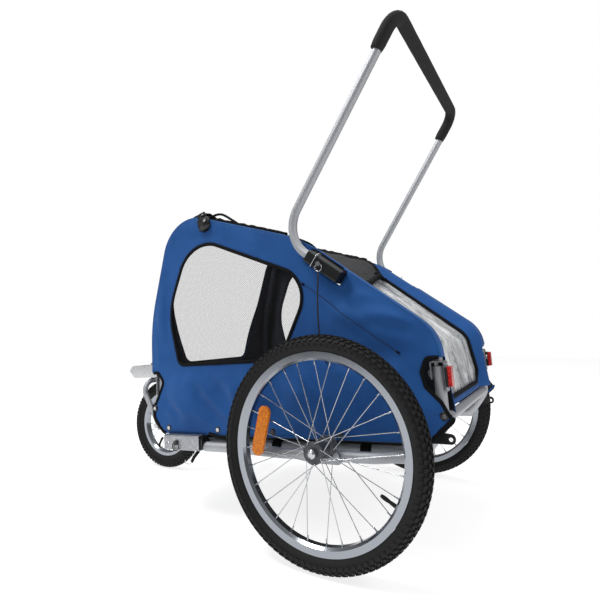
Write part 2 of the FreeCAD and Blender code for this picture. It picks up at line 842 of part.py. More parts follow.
# Floor board on the base tubes, narrowed where they rise
floor_low = base_z + base_r + gap
narrow = side_y - base_r - 1.5
floor_rear = rear_rise_x + 5
floor_front = size("front_rise_start") + 26
wide_rear = rear_rise_x + bend * 0.55
wide_front = size("front_rise_start") - bend * 0.55
floor_half = [
    (floor_rear, narrow),
    (wide_rear, narrow),
    (wide_rear, side_y),
    (wide_front, side_y),
    (wide_front, narrow),
    (floor_front, narrow),
]
floor_loop = rounded(flat([(x, -y, 4) for x, y in floor_half] + [(x, y, 4) for x, y in reversed(floor_half)]))
keep(pad("FloorBoard", "XY_Plane", [floor_loop], "Sizes.floor_thickness", floor_low), "floor_board", chassis)

# Tow-bar receiver in front of the left outrigger
spacer_x = size("outrigger_front") + gap
receiver_x = spacer_x + size("spacer_length") + gap
receiver_low = size("receiver_top") - size("receiver_height")
receiver_y = side_y + base_r + cloth_gap
receiver_far = receiver_y + size("receiver_width")
wall = size("receiver_wall")
tow_x = size("tow_pin_forward")
tow_z = receiver_low + size("receiver_height") / 2
sleeve_loop = rounded(flat([
    (receiver_y, receiver_low, 3),
    (receiver_far, receiver_low, 3),
    (receiver_far, size("receiver_top"), 3),
    (receiver_y, size("receiver_top"), 3),
]))
socket_loop = rounded(flat([
    (receiver_y + wall, receiver_low + wall, 0),
    (receiver_far - wall, receiver_low + wall, 0),
    (receiver_far - wall, size("receiver_top") - wall, 0),
    (receiver_y + wall, size("receiver_top") - wall, 0),
]))
sleeve = pad("ReceiverSleeve", "YZ_Plane", [sleeve_loop, socket_loop], "Sizes.receiver_length", receiver_x)
receiver_mid = (receiver_y + receiver_far) / 2
tow_hole = rod("TowPinHole", Vector(tow_x, receiver_mid - HOLE_REACH, tow_z), Y_AXIS, str(2 * HOLE_REACH),
               "Sizes.tow_pin_diameter / 2 + Sizes.pin_clearance")
stop_hole = rod("TowStopHole", Vector(size("tow_hole_forward"), receiver_mid - HOLE_REACH, tow_z), Y_AXIS,
                str(2 * HOLE_REACH), "Sizes.tow_hole_diameter / 2")
keep(cut("TowReceiver", sleeve, [tow_hole, stop_hole]), "tow_receiver", chassis)
spacer_loop = rounded(flat([
    (receiver_y, receiver_low + 2, 6),
    (receiver_far - 4, receiver_low + 2, 6),
    (receiver_far - 4, size("receiver_top") - 5, 6),
    (receiver_y, size("receiver_top") - 5, 6),
]))
keep(pad("ReceiverSpacer", "YZ_Plane", [spacer_loop], "Sizes.spacer_length", spacer_x),
     "receiver_spacer", chassis)

tow_pin_r = size("tow_pin_diameter") / 2
tow_pin_profile = rounded(flat([
    (0, receiver_y + 0.4, 0),
    (tow_pin_r - 1, receiver_y + 0.4, 0),
    (tow_pin_r, receiver_y + 1.4, 0),
    (tow_pin_r, receiver_far + cloth_gap, 0),
    (6.5, receiver_far + cloth_gap, 0),
    (6.5, receiver_far + 5, 0),
    (0, receiver_far + 5, 0),
]))
tow_bow = doc.addObject("Part::Torus", "TowPinBow")
tow_bow.Radius1 = 11
tow_bow.Radius2 = 1.3
tow_bow.Placement = Placement(Vector(0, receiver_far + 3.2, -9), Rotation(Z_AXIS, Y_AXIS))
keep(joined("TowPin", [revolve("TowPinShaft", tow_pin_profile), tow_bow]), "tow_pin",
     chassis.multiply(Placement(Vector(tow_x, 0, tow_z), Rotation())))

# Cloth cabin: two sides with windows, and a wrap in three pieces
socket_from = size("socket_start")
socket_to = size("socket_end")


def slope_patch(start, end, low, high):
    """A four-cornered patch of the side view along the rear slope."""
    corners = [(start, low), (end, low), (end, high), (start, high)]
    points = [on_slope(along, out=out) for along, out in corners]
    return rounded([(Vector(point.x, point.z, 0), 0) for point in points])


rear_notch = rounded(flat([(-300, 180, 0), (-228, 180, 12), (-216, 150, 12), (-222, 120, 12), (-252, 88, 12),
                           (-266, 60, 0), (-300, 60, 0)]))
front_notch = rounded(flat([(610, 172, 0), (566, 172, 8), (546, 145, 12), (560, 118, 12), (578, 85, 0),
                            (610, 80, 0)]))
side_cloth = pad("LeftSidePanel", "XZ_Plane", [rounded(flat(cabin_outline)), rounded(flat(window_outline))],
                 "Sizes.cloth_thickness", -cloth_y)
socket_room = slope_patch(socket_from - 4, socket_to + 4, -19, 40)
notch_sketch = sketch_on(side_cloth, "XZ_Plane", [rear_notch, front_notch, socket_room], -cloth_y - 1)
notches = side_cloth.newObject("PartDesign::Pocket", "SideNotches")
notches.Profile = notch_sketch
notches.Reversed = True
notches.Length = cloth + 2
doc.recompute()
left_side = keep(side_cloth, "left_side_panel", chassis)
mirrored(left_side, "right_side_panel")

mesh_y = cloth_y - cloth - cloth_gap
mesh_loop = rounded(flat(inset(window_outline, -size("window_lap"))))
window_mesh = pad("LeftWindowMesh", "XZ_Plane", [mesh_loop], "Sizes.sheet_thickness", -mesh_y)
keep(both_sides("WindowMeshes", [window_mesh]), "window_meshes", chassis)

wrap_y = cloth_y - cloth - cloth_gap
split_x = 470
split_z = 168
part_gap = cloth_gap / 2


# Between the hoops the strip hangs below the outline from the ridge to the rear sill
RIDGE = 5
TAIL = 6
REAR_SILL = 7
hung_outline = list(cabin_outline)
hung_outline[RIDGE] = inset(cabin_outline, size("ridge_hang"))[RIDGE]
hung_outline[TAIL] = inset(cabin_outline, size("tail_hang"))[TAIL]
hung_outline[REAR_SILL] = (rear_x + size("sill_hang"), *cabin_outline[REAR_SILL][1:])
fall_start = size("fall_start")
fall_end = size("fall_end")
strip_stations = [
    (-wrap_y, cabin_outline),
    (-fall_start, cabin_outline),
    (-fall_end, hung_outline),
    (fall_end, hung_outline),
    (fall_start, cabin_outline),
    (wrap_y, cabin_outline),
]
to_side_view = Rotation(X_AXIS, 90)


def strip_core(name, depth):
    """The whole room inside the strip, drawn in by a depth from its outer face."""
    sections = []
    for y, outline in strip_stations:
        section = doc.addObject("Part::Feature", name + "Section")
        section.Shape = Part.Wire([piece.toShape() for piece in rounded(flat(inset(outline, depth)))])
        section.Placement = Placement(Vector(0, y, 0), to_side_view)
        sections.append(section)
    loft = doc.addObject("Part::Loft", name)
    loft.Sections = sections
    loft.Solid = True
    loft.Ruled = True
    return loft


def strip_piece(name, outer, inner, room):
    """The piece of the strip that lies in one room, between two depths."""
    filled = common(name + "Filled", strip_core(name + "Outer", outer), room)
    return cut(name, filled, [strip_core(name + "Inner", inner)])


def rounded_window(name, role, points, offset, length):
    return pad(name, role, [rounded(flat(points))], str(length), offset)


far_rear = rear_x - 50
far_front = front_x + 30
far_side = cloth_y + 15
far_top = size("peak_height") + 60
door_y = size("door_half_width")
door_low = size("door_bottom")
door_high = size("door_top")
door_r = 35
waist_r = 260
door_side = [
    (size("door_foot"), door_low, door_r),
    (size("door_waist"), size("door_waist_height"), waist_r),
    (door_y, door_high, door_r),
]
door_points = door_side + [(-y, z, radius) for y, z, radius in reversed(door_side)]
door_behind = split_x + 5
door_depth = far_front - door_behind
door_cut = rounded_window("DoorOpening", "YZ_Plane", door_points, door_behind, door_depth)
front_bolt_holes = [rod("FrontPanelHole", Vector(post_front, y, z), X_AXIS, str(2 * HOLE_REACH),
                        arm_bolt_hole)
                    for y in (arm_bolt_y, -arm_bolt_y)
                    for z in (size("upper_cross_height"), size("lower_cross_height"))]
bracket_clear = side_y - size("bracket_depth") / 2 - 3
outer_bands = ((bracket_clear, far_side), (-far_side, -bracket_clear))
front_notch_low = bracket_top - 88
bracket_rooms = [block("FrontCorner", Vector(post_front - 30, low, front_notch_low),
                       Vector(far_front, high, bracket_top + 2))
                 for low, high in outer_bands]
front_panel_low = hem + 14
front_room = block("FrontRoom", Vector(split_x + part_gap, -far_side, front_panel_low),
                   Vector(far_front, far_side, far_top))
front_cloth = cut("FrontPanel", strip_piece("FrontStrip", 0, cloth, front_room),
                  [door_cut] + front_bolt_holes + bracket_rooms)
keep(front_cloth, "front_panel", chassis)

window_y = size("rear_window_half_width")
window_low = size("rear_window_bottom")
window_fore = size("rear_window_forward")
window_points = [(far_rear, -window_y, 0), (window_fore, -window_y, 30),
                 (window_fore, window_y, 30), (far_rear, window_y, 0)]
window_cut = rounded_window("RearWindowOpening", "XY_Plane", window_points, window_low, far_top - window_low)
roof_room = block("RoofRoom", Vector(far_rear, -far_side, split_z + part_gap),
                  Vector(split_x - part_gap, far_side, far_top))
rear_zone = rear_x + 73            # rear panel and corner cuts lie behind this
corner_cuts = [block("RoofCorner", Vector(far_rear, low, split_z - 18),
                     Vector(rear_zone, high, bracket_top + 9))
               for low, high in outer_bands]
socket_y = side_y + hoop_r + gap - 1
notch_depth = 40
socket_cuts = []
for side in (1, -1):
    patch = pad("SocketNotch", "XZ_Plane", [socket_room], str(notch_depth),
                -(socket_y + notch_depth) if side > 0 else socket_y)
    socket_cuts.append(patch)
roof_cloth = cut("RoofPanel", strip_piece("RoofStrip", 0, cloth, roof_room),
                 [window_cut] + corner_cuts + socket_cuts)
keep(roof_cloth, "roof_panel", chassis)

rear_room = block("RearRoom", Vector(far_rear, -bracket_clear, size("rear_panel_bottom")),
                  Vector(rear_zone, bracket_clear, split_z - part_gap))
flap_points = [(-window_y, window_low, 40), (window_y, window_low, 40),
               (window_y, far_top, 0), (-window_y, far_top, 0)]
rear_window_cut = rounded_window("RearFlapOpening", "YZ_Plane", flap_points, far_rear, rear_zone - far_rear)
keep(cut("RearPanel", strip_piece("RearStrip", 0, cloth, rear_room), [rear_window_cut]),
     "rear_panel", chassis)

lap = size("window_lap")
inner_skin = cloth + cloth_gap
skin = size("sheet_thickness")
door_room = rounded_window("DoorRoom", "YZ_Plane", inset(door_points, -lap), door_behind, door_depth)
keep(strip_piece("FrontDoorMesh", inner_skin, inner_skin + skin, door_room), "front_door_mesh", chassis)
clear_room = block("ClearRoom", Vector(far_rear, -window_y - lap, window_low - lap),
                   Vector(window_fore + lap, window_y + lap, far_top))
keep(strip_piece("RearWindow", inner_skin, inner_skin + skin, clear_room), "rear_window", chassis)

# Press studs along the hem, both sides
stud_places = [(527, 19), (349, 18), (173, 17), (-12, 16), (-255, 60), (581, 72)]
studs = [rod("PressStud", Vector(x, cloth_y + gap, z), Y_AXIS, "Sizes.stud_height", "Sizes.stud_diameter / 2")
         for x, z in stud_places]
keep(both_sides("PressStuds", studs), "press_studs", chassis)

# Red reflectors on the rear brackets
rear_face = post_rear - bracket_half
bolt_head_room = 8.5
lens_half = size("reflector_width") / 2
lens_low = size("reflector_low")
lens_high = lens_low + size("reflector_height")
lens_y = side_y + 13
base_loop = rounded(flat([(lens_y - lens_half, lens_low, 4), (lens_y + lens_half, lens_low, 4),
                          (lens_y + lens_half, lens_high, 4), (lens_y - lens_half, lens_high, 4)]))
lens_loop = rounded(flat(inset([(lens_y - lens_half, lens_low, 4), (lens_y + lens_half, lens_low, 4),
                                (lens_y + lens_half, lens_high, 4), (lens_y - lens_half, lens_high, 4)], 1)))
bolt_room = rod("ReflectorBoltRoom", Vector(rear_face - HOLE_REACH, side_y, bolt_z), X_AXIS,
                str(2 * HOLE_REACH), str(bolt_head_room))
base_back = rear_face - gap - size("reflector_base")
base_pad = pad("ReflectorBasePad", "YZ_Plane", [base_loop], "Sizes.reflector_base", base_back)
reflector_base = cut("ReflectorBase", base_pad, [bolt_room])
keep(both_sides("ReflectorBases", [reflector_base]), "reflector_bases", chassis)
lens_back = base_back - gap - size("reflector_thickness")
lens = pad("LeftReflector", "YZ_Plane", [lens_loop], "Sizes.reflector_thickness", lens_back)
keep(both_sides("RedReflectors", [lens]), "red_reflectors", chassis)

# Tie-down eyelets on the base tubes at the rear
eyelet_far = side_y + base_r + gap + size("eyelet_thickness")
eyelet_x = -size("eyelet_back")
eyelet_z = size("eyelet_height")
eyelet_r = size("eyelet_radius")
eyelet_loop = rounded(flat([
    (eyelet_x - eyelet_r, eyelet_z - eyelet_r, eyelet_r),
    (-196, 4, 8),
    (-212, 30, 8),
    (eyelet_x - eyelet_r, eyelet_z + eyelet_r, eyelet_r),
]))
eyelet = pad("Eyelet", "XZ_Plane", [eyelet_loop, circle(eyelet_x, eyelet_z, size("eyelet_hole") / 2)],
             "Sizes.eyelet_thickness", -eyelet_far)
keep(both_sides("TieEyelets", [eyelet]), "tie_eyelets", chassis)

# Push handle: one bent tube pinned into a socket on each hoop
handle_y = size("handle_half_width")
lean = math.radians(size("handle_lean"))
leg_up = Vector(-math.sin(lean), 0, math.cos(lean))
knee = on_slope(-38.5)
crown = knee + leg_up * size("handle_leg")
foot = on_slope(socket_to - 8)
across = Vector(0, handle_y, 0)
knee_r = size("handle_bend_radius")
corner_r = size("handle_corner_radius")
handle_path = [
    (foot + across, 0),
    (knee + across, knee_r),
    (crown + across, corner_r),
    (crown - across, corner_r),
    (knee - across, knee_r),
    (foot - across, 0),
]
handle_holes = [rod("HandlePinHole", pin_at + Vector(0, side * handle_y - HOLE_REACH, 0), Y_AXIS,
                    str(2 * HOLE_REACH), pin_hole)
                for side in (1, -1)]
keep(cut("HandleTube", tube("HandleSweep", handle_path, "Sizes.handle_tube_diameter / 2"), handle_holes),
     "handle_tube", chassis)
grip_from = crown - leg_up * (size("grip_down_leg") + corner_r)
grip_path = [
    (grip_from + across, 0),
    (crown + across, corner_r),
    (crown - across, corner_r),
    (grip_from - across, 0),
]
keep(cut("HandleGrip", tube("GripSweep", grip_path, "Sizes.grip_diameter / 2"),
         [tube("GripBore", grip_path, "Sizes.handle_tube_diameter / 2 + Sizes.cloth_gap")]),
     "handle_grip", chassis)

socket_in = side_y + hoop_r + gap
socket_out = handle_y + 15.3
socket_half = size("socket_height") / 2
socket_shell_loop = rounded(flat([
    (socket_in, -socket_half, 5),
    (socket_out, -socket_half, 5),
    (socket_out, socket_half, 5),
    (socket_in, socket_half, 5),
]))
socket_place = Placement(on_slope(socket_from), Rotation(X_AXIS, slope_down))
socket_shell = pad("SocketShell", "YZ_Plane", [socket_shell_loop], "Sizes.socket_end - Sizes.socket_start")
socket_shell.Placement = socket_place
socket_bore = rod("SocketBore", on_slope(socket_from - 1) + across, slope_down,
                  "Sizes.socket_end - Sizes.socket_start - 5",
                  "Sizes.handle_tube_diameter / 2 + Sizes.pin_clearance")
socket_mid = (socket_in + socket_out) / 2
socket_pin_hole = rod("SocketPinHole", pin_at + Vector(0, socket_mid - HOLE_REACH, 0), Y_AXIS,
                      str(2 * HOLE_REACH), pin_hole)
left_socket = keep(cut("LeftHandleSocket", socket_shell, [socket_bore, socket_pin_hole]),
                   "left_handle_socket", chassis)
mirrored(left_socket, "right_handle_socket")

pin_r = size("handle_pin_diameter") / 2
pin_tip = side_y - 7
pin_head_r = 6
pin_head = 5
pin_profile = rounded(flat([
    (0, pin_tip, 0),
    (pin_r - 1, pin_tip, 0),
    (pin_r, pin_tip + 1, 0),
    (pin_r, socket_out + cloth_gap, 0),
    (pin_head_r, socket_out + cloth_gap, 0),
    (pin_head_r, socket_out + pin_head, 0),
    (0, socket_out + pin_head, 0),
]))
pin_ring_y = socket_out + 3
pin_ring_r = 9
pin_wire_r = 1.2
pin_ring = doc.addObject("Part::Torus", "HandlePinRing")
pin_ring.Radius1 = pin_ring_r
pin_ring.Radius2 = pin_wire_r
pin_ring.Placement = Placement(Vector(0, pin_ring_y, -pin_ring_r), Rotation(Z_AXIS, Y_AXIS))
left_pin = keep(joined("LeftHandlePin", [revolve("HandlePinShaft", pin_profile), pin_ring]),
                "left_handle_pin", chassis.multiply(Placement(pin_at, Rotation())))
mirrored(left_pin, "right_handle_pin")

# Front arm: an inverted-U channel bolted to the front cross tubes through the cloth
arm_half = size("arm_width") / 2
arm_low = size("arm_bottom")
arm_high = size("arm_top")
plate_x = front_x + cloth_gap
arm_x = plate_x + size("arm_plate_thickness") + gap
arm_t = size("arm_sheet")
tip_x = size("arm_tip")
arm_loop = rounded(flat([
    (arm_x, arm_low, 0),
    (tip_x - 25, arm_low, 10),
    (tip_x, arm_low + 24, 10),
    (tip_x, arm_high - 15, 6),
    (tip_x - 15, arm_high, 6),
    (arm_x, arm_high, 0),
]))
arm_bar = pad("ArmBar", "XZ_Plane", [arm_loop], "Sizes.arm_width", 0, midplane=True)
arm_room = block("ArmRoom", Vector(arm_x - 1, -arm_half + arm_t, arm_low - 1),
                 Vector(tip_x + 1, arm_half - arm_t, arm_high - arm_t))
steer_x = size("steer_forward")
stem_room = rod("StemRoom", Vector(steer_x, 0, arm_high - 10), Z_AXIS, "20",
                "Sizes.stem_diameter / 2 + 0.5")
keep(cut("FrontArm", arm_bar, [arm_room, stem_room]), "front_arm", chassis)

plate_half = size("arm_plate_width") / 2
plate_loop = rounded(flat([
    (-plate_half, 62, 12),
    (plate_half, 62, 12),
    (plate_half, 150, 12),
    (arm_half, arm_high, 0),
    (-arm_half, arm_high, 0),
    (-plate_half, 150, 12),
]))
plate_holes = [circle(y, z, size("arm_bolt_diameter") / 2 + gap)
               for y in (arm_bolt_y, -arm_bolt_y)
               for z in (size("upper_cross_height"), size("lower_cross_height"))]
keep(pad("ArmPlate", "YZ_Plane", [plate_loop] + plate_holes, "Sizes.arm_plate_thickness", plate_x),
     "arm_plate", chassis)
arm_grip = plate_x + size("arm_plate_thickness") + gap - (post_front - size("cross_tube_diameter") / 2)
arm_bolts = [bolt("ArmBolt", Vector(arm_x, y, z), X_AXIS * -1, arm_grip, size("arm_bolt_diameter") / 2)
             for y in (arm_bolt_y, -arm_bolt_y)
             for z in (size("upper_cross_height"), size("lower_cross_height"))]
keep(group("ArmBolts", arm_bolts), "arm_bolts", chassis)

stem_r = size("stem_diameter") / 2
head_low = arm_low + 0.5
head_high = arm_high - arm_t - gap
head_loop = [circle(steer_x, 0, size("head_tube_diameter") / 2),
             circle(steer_x, 0, stem_r + size("running_clearance"))]
keep(pad("HeadTube", "XY_Plane", head_loop, str(head_high - head_low), head_low), "head_tube", chassis)

# Caster fork: a U-bent tube with the stem and thrust washer on top
fork_y = size("fork_spacing") / 2
fork_r = size("fork_tube_diameter") / 2
fork_top = size("fork_top_height")
fork_bend = size("fork_bend_radius")
fork_knee = Vector(steer_x, 0, size("fork_knee_height"))
fork_axle = Vector(front_axle_x, 0, front_axle_z)
fork_tip = fork_axle - (fork_knee - fork_axle).normalize() * 14
fork_side = Vector(0, fork_y, 0)
fork_shoulder = Vector(steer_x, 0, fork_top)
fork_path = [
    (fork_tip + fork_side, 0),
    (fork_knee + fork_side, fork_bend),
    (fork_shoulder + fork_side, fork_bend),
    (fork_shoulder - fork_side, fork_bend),
    (fork_knee - fork_side, fork_bend),
    (fork_tip - fork_side, 0),
]
washer_low = fork_top + fork_r - 1
washer_high = head_low - cloth_gap
nut_low = arm_high + cloth_gap
stem_nut_height = 8
stem_nut_r = 13
washer_r = 15
stem_length = nut_low + stem_nut_height + 2 - fork_top
stem = rod("Stem", Vector(steer_x, 0, fork_top), Z_AXIS, str(stem_length), "Sizes.stem_diameter / 2")
washer = rod("ThrustWasher", Vector(steer_x, 0, washer_low), Z_AXIS, str(washer_high - washer_low),
             str(washer_r))
fork_reach = fork_y + HOLE_REACH
fork_axle_hole = rod("ForkAxleHole", fork_axle - Vector(0, fork_reach, 0), Y_AXIS, str(2 * fork_reach),
                     "Sizes.front_axle_diameter / 2 + Sizes.pin_clearance")
fork_body = joined("ForkBody", [tube("ForkSweep", fork_path, "Sizes.fork_tube_diameter / 2"), stem, washer])
keep(cut("Fork", fork_body, [fork_axle_hole]), "fork", chassis)
nut_loops = [circle(steer_x, 0, stem_nut_r), circle(steer_x, 0, stem_r + gap)]
keep(pad("StemNut", "XY_Plane", nut_loops, str(stem_nut_height), nut_low), "stem_nut", chassis)

front_half = size("front_hub_length") / 2
collar_in = front_half + cloth_gap
collar_out = fork_y - fork_r - gap
nut_in = fork_y + fork_r + gap
front_axle_side = [
    (front_axle_r, collar_in),
    (8, collar_in),
    (8, collar_out),
    (front_axle_r, collar_out),
    (front_axle_r, nut_in),
    (9, nut_in),
    (9, nut_in + 6.5),
    (0, nut_in + 6.5),
]
front_axle_loop = rounded(flat([(radius, -y, 0) for radius, y in reversed(front_axle_side)]
                               + [(radius, y, 0) for radius, y in front_axle_side]))
keep(revolve("FrontAxle", front_axle_loop), "front_axle", front_hub)

# Lanyard of the left handle pin: it hangs plumb, so it is drawn in the ground frame
ring_bottom = chassis.multVec(pin_at + Vector(0, pin_ring_y, -2 * pin_ring_r - pin_wire_r - 0.4))
cord_r = size("lanyard_diameter") / 2
cord_start = ring_bottom - Vector(0, 0, cord_r)
cord_steps = [(1.2, 1.0, -38), (-1.4, 1.5, -50), (-3.0, -1.0, -50), (-3.5, -6.0, -43), (-1.5, -12.5, -24),
              (0.0, -10.6, -5)]
cord_points = [cord_start]
for step in cord_steps:
    cord_points.append(cord_points[-1] + Vector(*step))
cord_corners = [(cord_points[0], 0)]
for before, here, after in zip(cord_points, cord_points[1:], cord_points[2:]):
    turn = (here - before).getAngle(after - here)
    shorter = min((here - before).Length, (after - here).Length)
    cord_corners.append((here, 0.45 * shorter / math.tan(turn / 2)))
cord_corners.append((cord_points[-1], 0))
cord_end = chassis.inverse().multVec(cord_points[-1])
keep(tube("PinLanyard", cord_corners, "Sizes.lanyard_diameter / 2"), "pin_lanyard", Placement())
tab_half = 11
tab_rise = 9
tab_thick = 3
tab_loop = rounded(flat([(cord_end.x - tab_half, cord_end.z - tab_rise, 3),
                         (cord_end.x + tab_half, cord_end.z - tab_rise, 3),
                         (cord_end.x + tab_half, cord_end.z + tab_rise, 3),
                         (cord_end.x - tab_half, cord_end.z + tab_rise, 3)]))
tab_far = cloth_y + gap + tab_thick
keep(pad("LanyardTab", "XZ_Plane", [tab_loop], str(tab_thick), -tab_far), "lanyard_tab", chassis)

doc.recompute()

problems = [obj.Label for obj in doc.Objects if {"Invalid", "Error"} & set(obj.State)]
for obj in subparts:
    if obj.Shape.isNull() or not obj.Shape.isValid():
        problems.append(obj.Label)
if problems:
    raise RuntimeError("not sound: " + ", ".join(problems))

os.makedirs("parts", exist_ok=True)
for obj in subparts:
    obj.Shape.exportStep(f"parts/{obj.Label}.step")
whole = subparts[0].Shape.optimalBoundingBox()
for obj in subparts[1:]:
    whole.add(obj.Shape.optimalBoundingBox())
print(len(subparts), "sub-parts", whole)
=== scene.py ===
import bpy
import bmesh
import json
import math
import numpy as np
from mathutils import Matrix, Vector, noise
from mathutils.geometry import delaunay_2d_cdt


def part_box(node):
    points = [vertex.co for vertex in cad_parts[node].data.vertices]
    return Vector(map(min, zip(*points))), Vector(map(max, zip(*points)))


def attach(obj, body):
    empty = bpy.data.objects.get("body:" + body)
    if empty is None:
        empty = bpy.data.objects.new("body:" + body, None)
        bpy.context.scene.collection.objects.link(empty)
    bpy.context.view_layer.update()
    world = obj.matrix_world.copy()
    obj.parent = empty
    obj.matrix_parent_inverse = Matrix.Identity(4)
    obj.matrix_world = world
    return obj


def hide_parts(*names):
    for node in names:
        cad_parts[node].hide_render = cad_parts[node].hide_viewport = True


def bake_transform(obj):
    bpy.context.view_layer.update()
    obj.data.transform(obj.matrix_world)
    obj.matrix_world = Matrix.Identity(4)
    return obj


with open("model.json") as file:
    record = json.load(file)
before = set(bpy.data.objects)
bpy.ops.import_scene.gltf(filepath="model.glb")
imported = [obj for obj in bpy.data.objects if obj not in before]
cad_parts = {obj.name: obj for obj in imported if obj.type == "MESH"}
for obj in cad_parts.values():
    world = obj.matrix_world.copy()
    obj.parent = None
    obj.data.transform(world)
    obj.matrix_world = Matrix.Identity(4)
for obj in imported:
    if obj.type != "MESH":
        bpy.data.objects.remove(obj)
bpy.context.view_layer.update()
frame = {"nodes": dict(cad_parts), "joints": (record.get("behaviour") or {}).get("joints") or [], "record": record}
nodes = frame["nodes"]
joints = {joint["name"]: joint for joint in frame["joints"]}
bothSides = ((1, "left"), (-1, "right"))

# The trailer is drawn in millimetres from the middle of the rear axle, along its own tilted floor.
chassisPitch = 4.5
leftHub = Vector(joints["left_wheel_spin"]["pos_m"])
frontHub = Vector(joints["front_wheel_spin"]["pos_m"])
axleMiddle = Vector((leftHub.x, 0, leftHub.z))
chassisMatrix = Matrix.Translation(axleMiddle) @ Matrix.Rotation(math.radians(chassisPitch), 4, "Y")


def spot(x, y, z):  # chassis millimetres to metres in the scene
    return chassisMatrix @ (Vector((x, y, z)) / 1000)


def smooth(value, low, high):
    t = min(max((value - low) / (high - low), 0.0), 1.0)
    return t * t * (3 - 2 * t)


# Camera, matched to the three wheels and the frame in the photograph
photoCamera = {
    "place": (-0.4807, 1.2453, 0.5152),  # from the ground under the rear axle
    "azimuth": 207.76,
    "elevation": -5.82,
    "lens": 27.2,
    "shift": (-0.0441, -0.0363),
}
azimuth = math.radians(photoCamera["azimuth"])
elevation = math.radians(photoCamera["elevation"])
back = Vector((math.sin(azimuth) * math.cos(elevation), -math.cos(azimuth) * math.cos(elevation),
               math.sin(elevation)))
right = Vector((0, 0, 1)).cross(back).normalized()
above = back.cross(right)
cameraData = bpy.data.cameras.new("photoCamera")
cameraData.lens = photoCamera["lens"]
cameraData.sensor_width = 36
cameraData.shift_x, cameraData.shift_y = photoCamera["shift"]
camera = bpy.data.objects.new("photoCamera", cameraData)
bpy.context.scene.collection.objects.link(camera)
turn = Matrix((right, above, back)).transposed().to_4x4()
camera.matrix_world = Matrix.Translation(Vector(photoCamera["place"]) + Vector((axleMiddle.x, 0, 0))) @ turn
bpy.context.scene.camera = camera
print("camera set")


# Finishes
def linear(code):  # sRGB hex to a linear colour
    values = [int(code[i:i + 2], 16) / 255 for i in (1, 3, 5)]
    return [v / 12.92 if v <= 0.04045 else ((v + 0.055) / 1.055) ** 2.4 for v in values] + [1.0]


def addNode(mat, kind, inputs=None, stops=None, to=None, **settings):
    node = mat.node_tree.nodes.new(kind)
    for name, value in settings.items():
        setattr(node, name, value)
    for key, value in (inputs or {}).items():
        if isinstance(value, bpy.types.NodeSocket):
            mat.node_tree.links.new(value, node.inputs[key])
        else:
            node.inputs[key].default_value = value
    if stops:  # tones along a colour ramp, dark to light
        for element, tone in zip(node.color_ramp.elements, stops):
            element.color = linear(tone)
    if to:
        mat.node_tree.links.new(node.outputs[0], to)
    return node


def newFinish(name, colour, roughness, metallic=0.0):
    mat = bpy.data.materials.new(name)
    mat.use_nodes = True
    shader = mat.node_tree.nodes["Principled BSDF"]
    shader.inputs["Base Color"].default_value = linear(colour)
    shader.inputs["Roughness"].default_value = roughness
    shader.inputs["Metallic"].default_value = metallic
    place = addNode(mat, "ShaderNodeTexCoord").outputs["Object"]
    return mat, shader.inputs, place


def toneAndRelief(mat, skin, pattern, tones, depth, strength):  # one pattern tints and embosses
    addNode(mat, "ShaderNodeValToRGB", {"Fac": pattern}, tones, skin["Base Color"])
    addNode(mat, "ShaderNodeBump", {"Height": pattern, "Distance": depth, "Strength": strength},
            to=skin["Normal"])


def bandRate(spacing):  # scale of a wave texture whose bands are this many metres apart
    return 2 * math.pi / (20 * spacing)


def tyreRubber(name="tyreRubberMoulded", dark="#09090a", light="#161617"):
    # Moulded tyre rubber: matt black, a grey bloom of dust
    mat, skin, place = newFinish(name, light, 0.72)
    dust = addNode(mat, "ShaderNodeTexNoise", {"Vector": place, "Scale": 55.0, "Detail": 6.0})
    addNode(mat, "ShaderNodeValToRGB", {"Fac": dust.outputs["Fac"]}, [dark, light], skin["Base Color"])
    grit = addNode(mat, "ShaderNodeTexNoise", {"Vector": place, "Scale": 1 / 0.0015, "Detail": 2.0})
    addNode(mat, "ShaderNodeBump", {"Height": grit.outputs["Fac"], "Distance": 0.0002, "Strength": 0.6},
            to=skin["Normal"])
    skin["Specular IOR Level"].default_value = 0.35
    return mat


def rimAlloy():  # extruded aluminium, polished: bright, with soft smudges
    mat, skin, place = newFinish("aluminiumPolishedRim", "#969aa1", 0.16, 1.0)
    smudge = addNode(mat, "ShaderNodeTexNoise", {"Vector": place, "Scale": 1 / 0.05, "Detail": 4.0})
    addNode(mat, "ShaderNodeMapRange", {"Value": smudge.outputs["Fac"], "To Min": 0.1, "To Max": 0.22},
            to=skin["Roughness"])
    addNode(mat, "ShaderNodeBump", {"Height": smudge.outputs["Fac"], "Distance": 0.0003, "Strength": 0.04},
            to=skin["Normal"])
    return mat


def tubeAlloy(name="aluminiumSatinTube", dark="#aeb0b4", light="#c0c2c6"):
    # Drawn aluminium tube, blasted and anodised: satin silver with a broad soft shine
    mat, skin, place = newFinish(name, light, 0.3, 1.0)
    streak = addNode(mat, "ShaderNodeTexNoise", {"Vector": place, "Scale": 1 / 0.014, "Detail": 5.0})
    toneAndRelief(mat, skin, streak.outputs["Fac"], [dark, light], 0.0001, 0.05)
    addNode(mat, "ShaderNodeMapRange", {"Value": streak.outputs["Fac"], "To Min": 0.6, "To Max": 0.68},
            to=skin["Roughness"])
    return mat


def zincSteel():  # zinc plated steel: bright grey, slightly cloudy
    mat, skin, place = newFinish("steelZincPlated", "#bfc1c3", 0.26, 1.0)
    cloud = addNode(mat, "ShaderNodeTexNoise", {"Vector": place, "Scale": 1 / 0.008, "Detail": 4.0})
    toneAndRelief(mat, skin, cloud.outputs["Fac"], ["#a4a6a8", "#d2d4d6"], 0.0001, 0.3)
    return mat


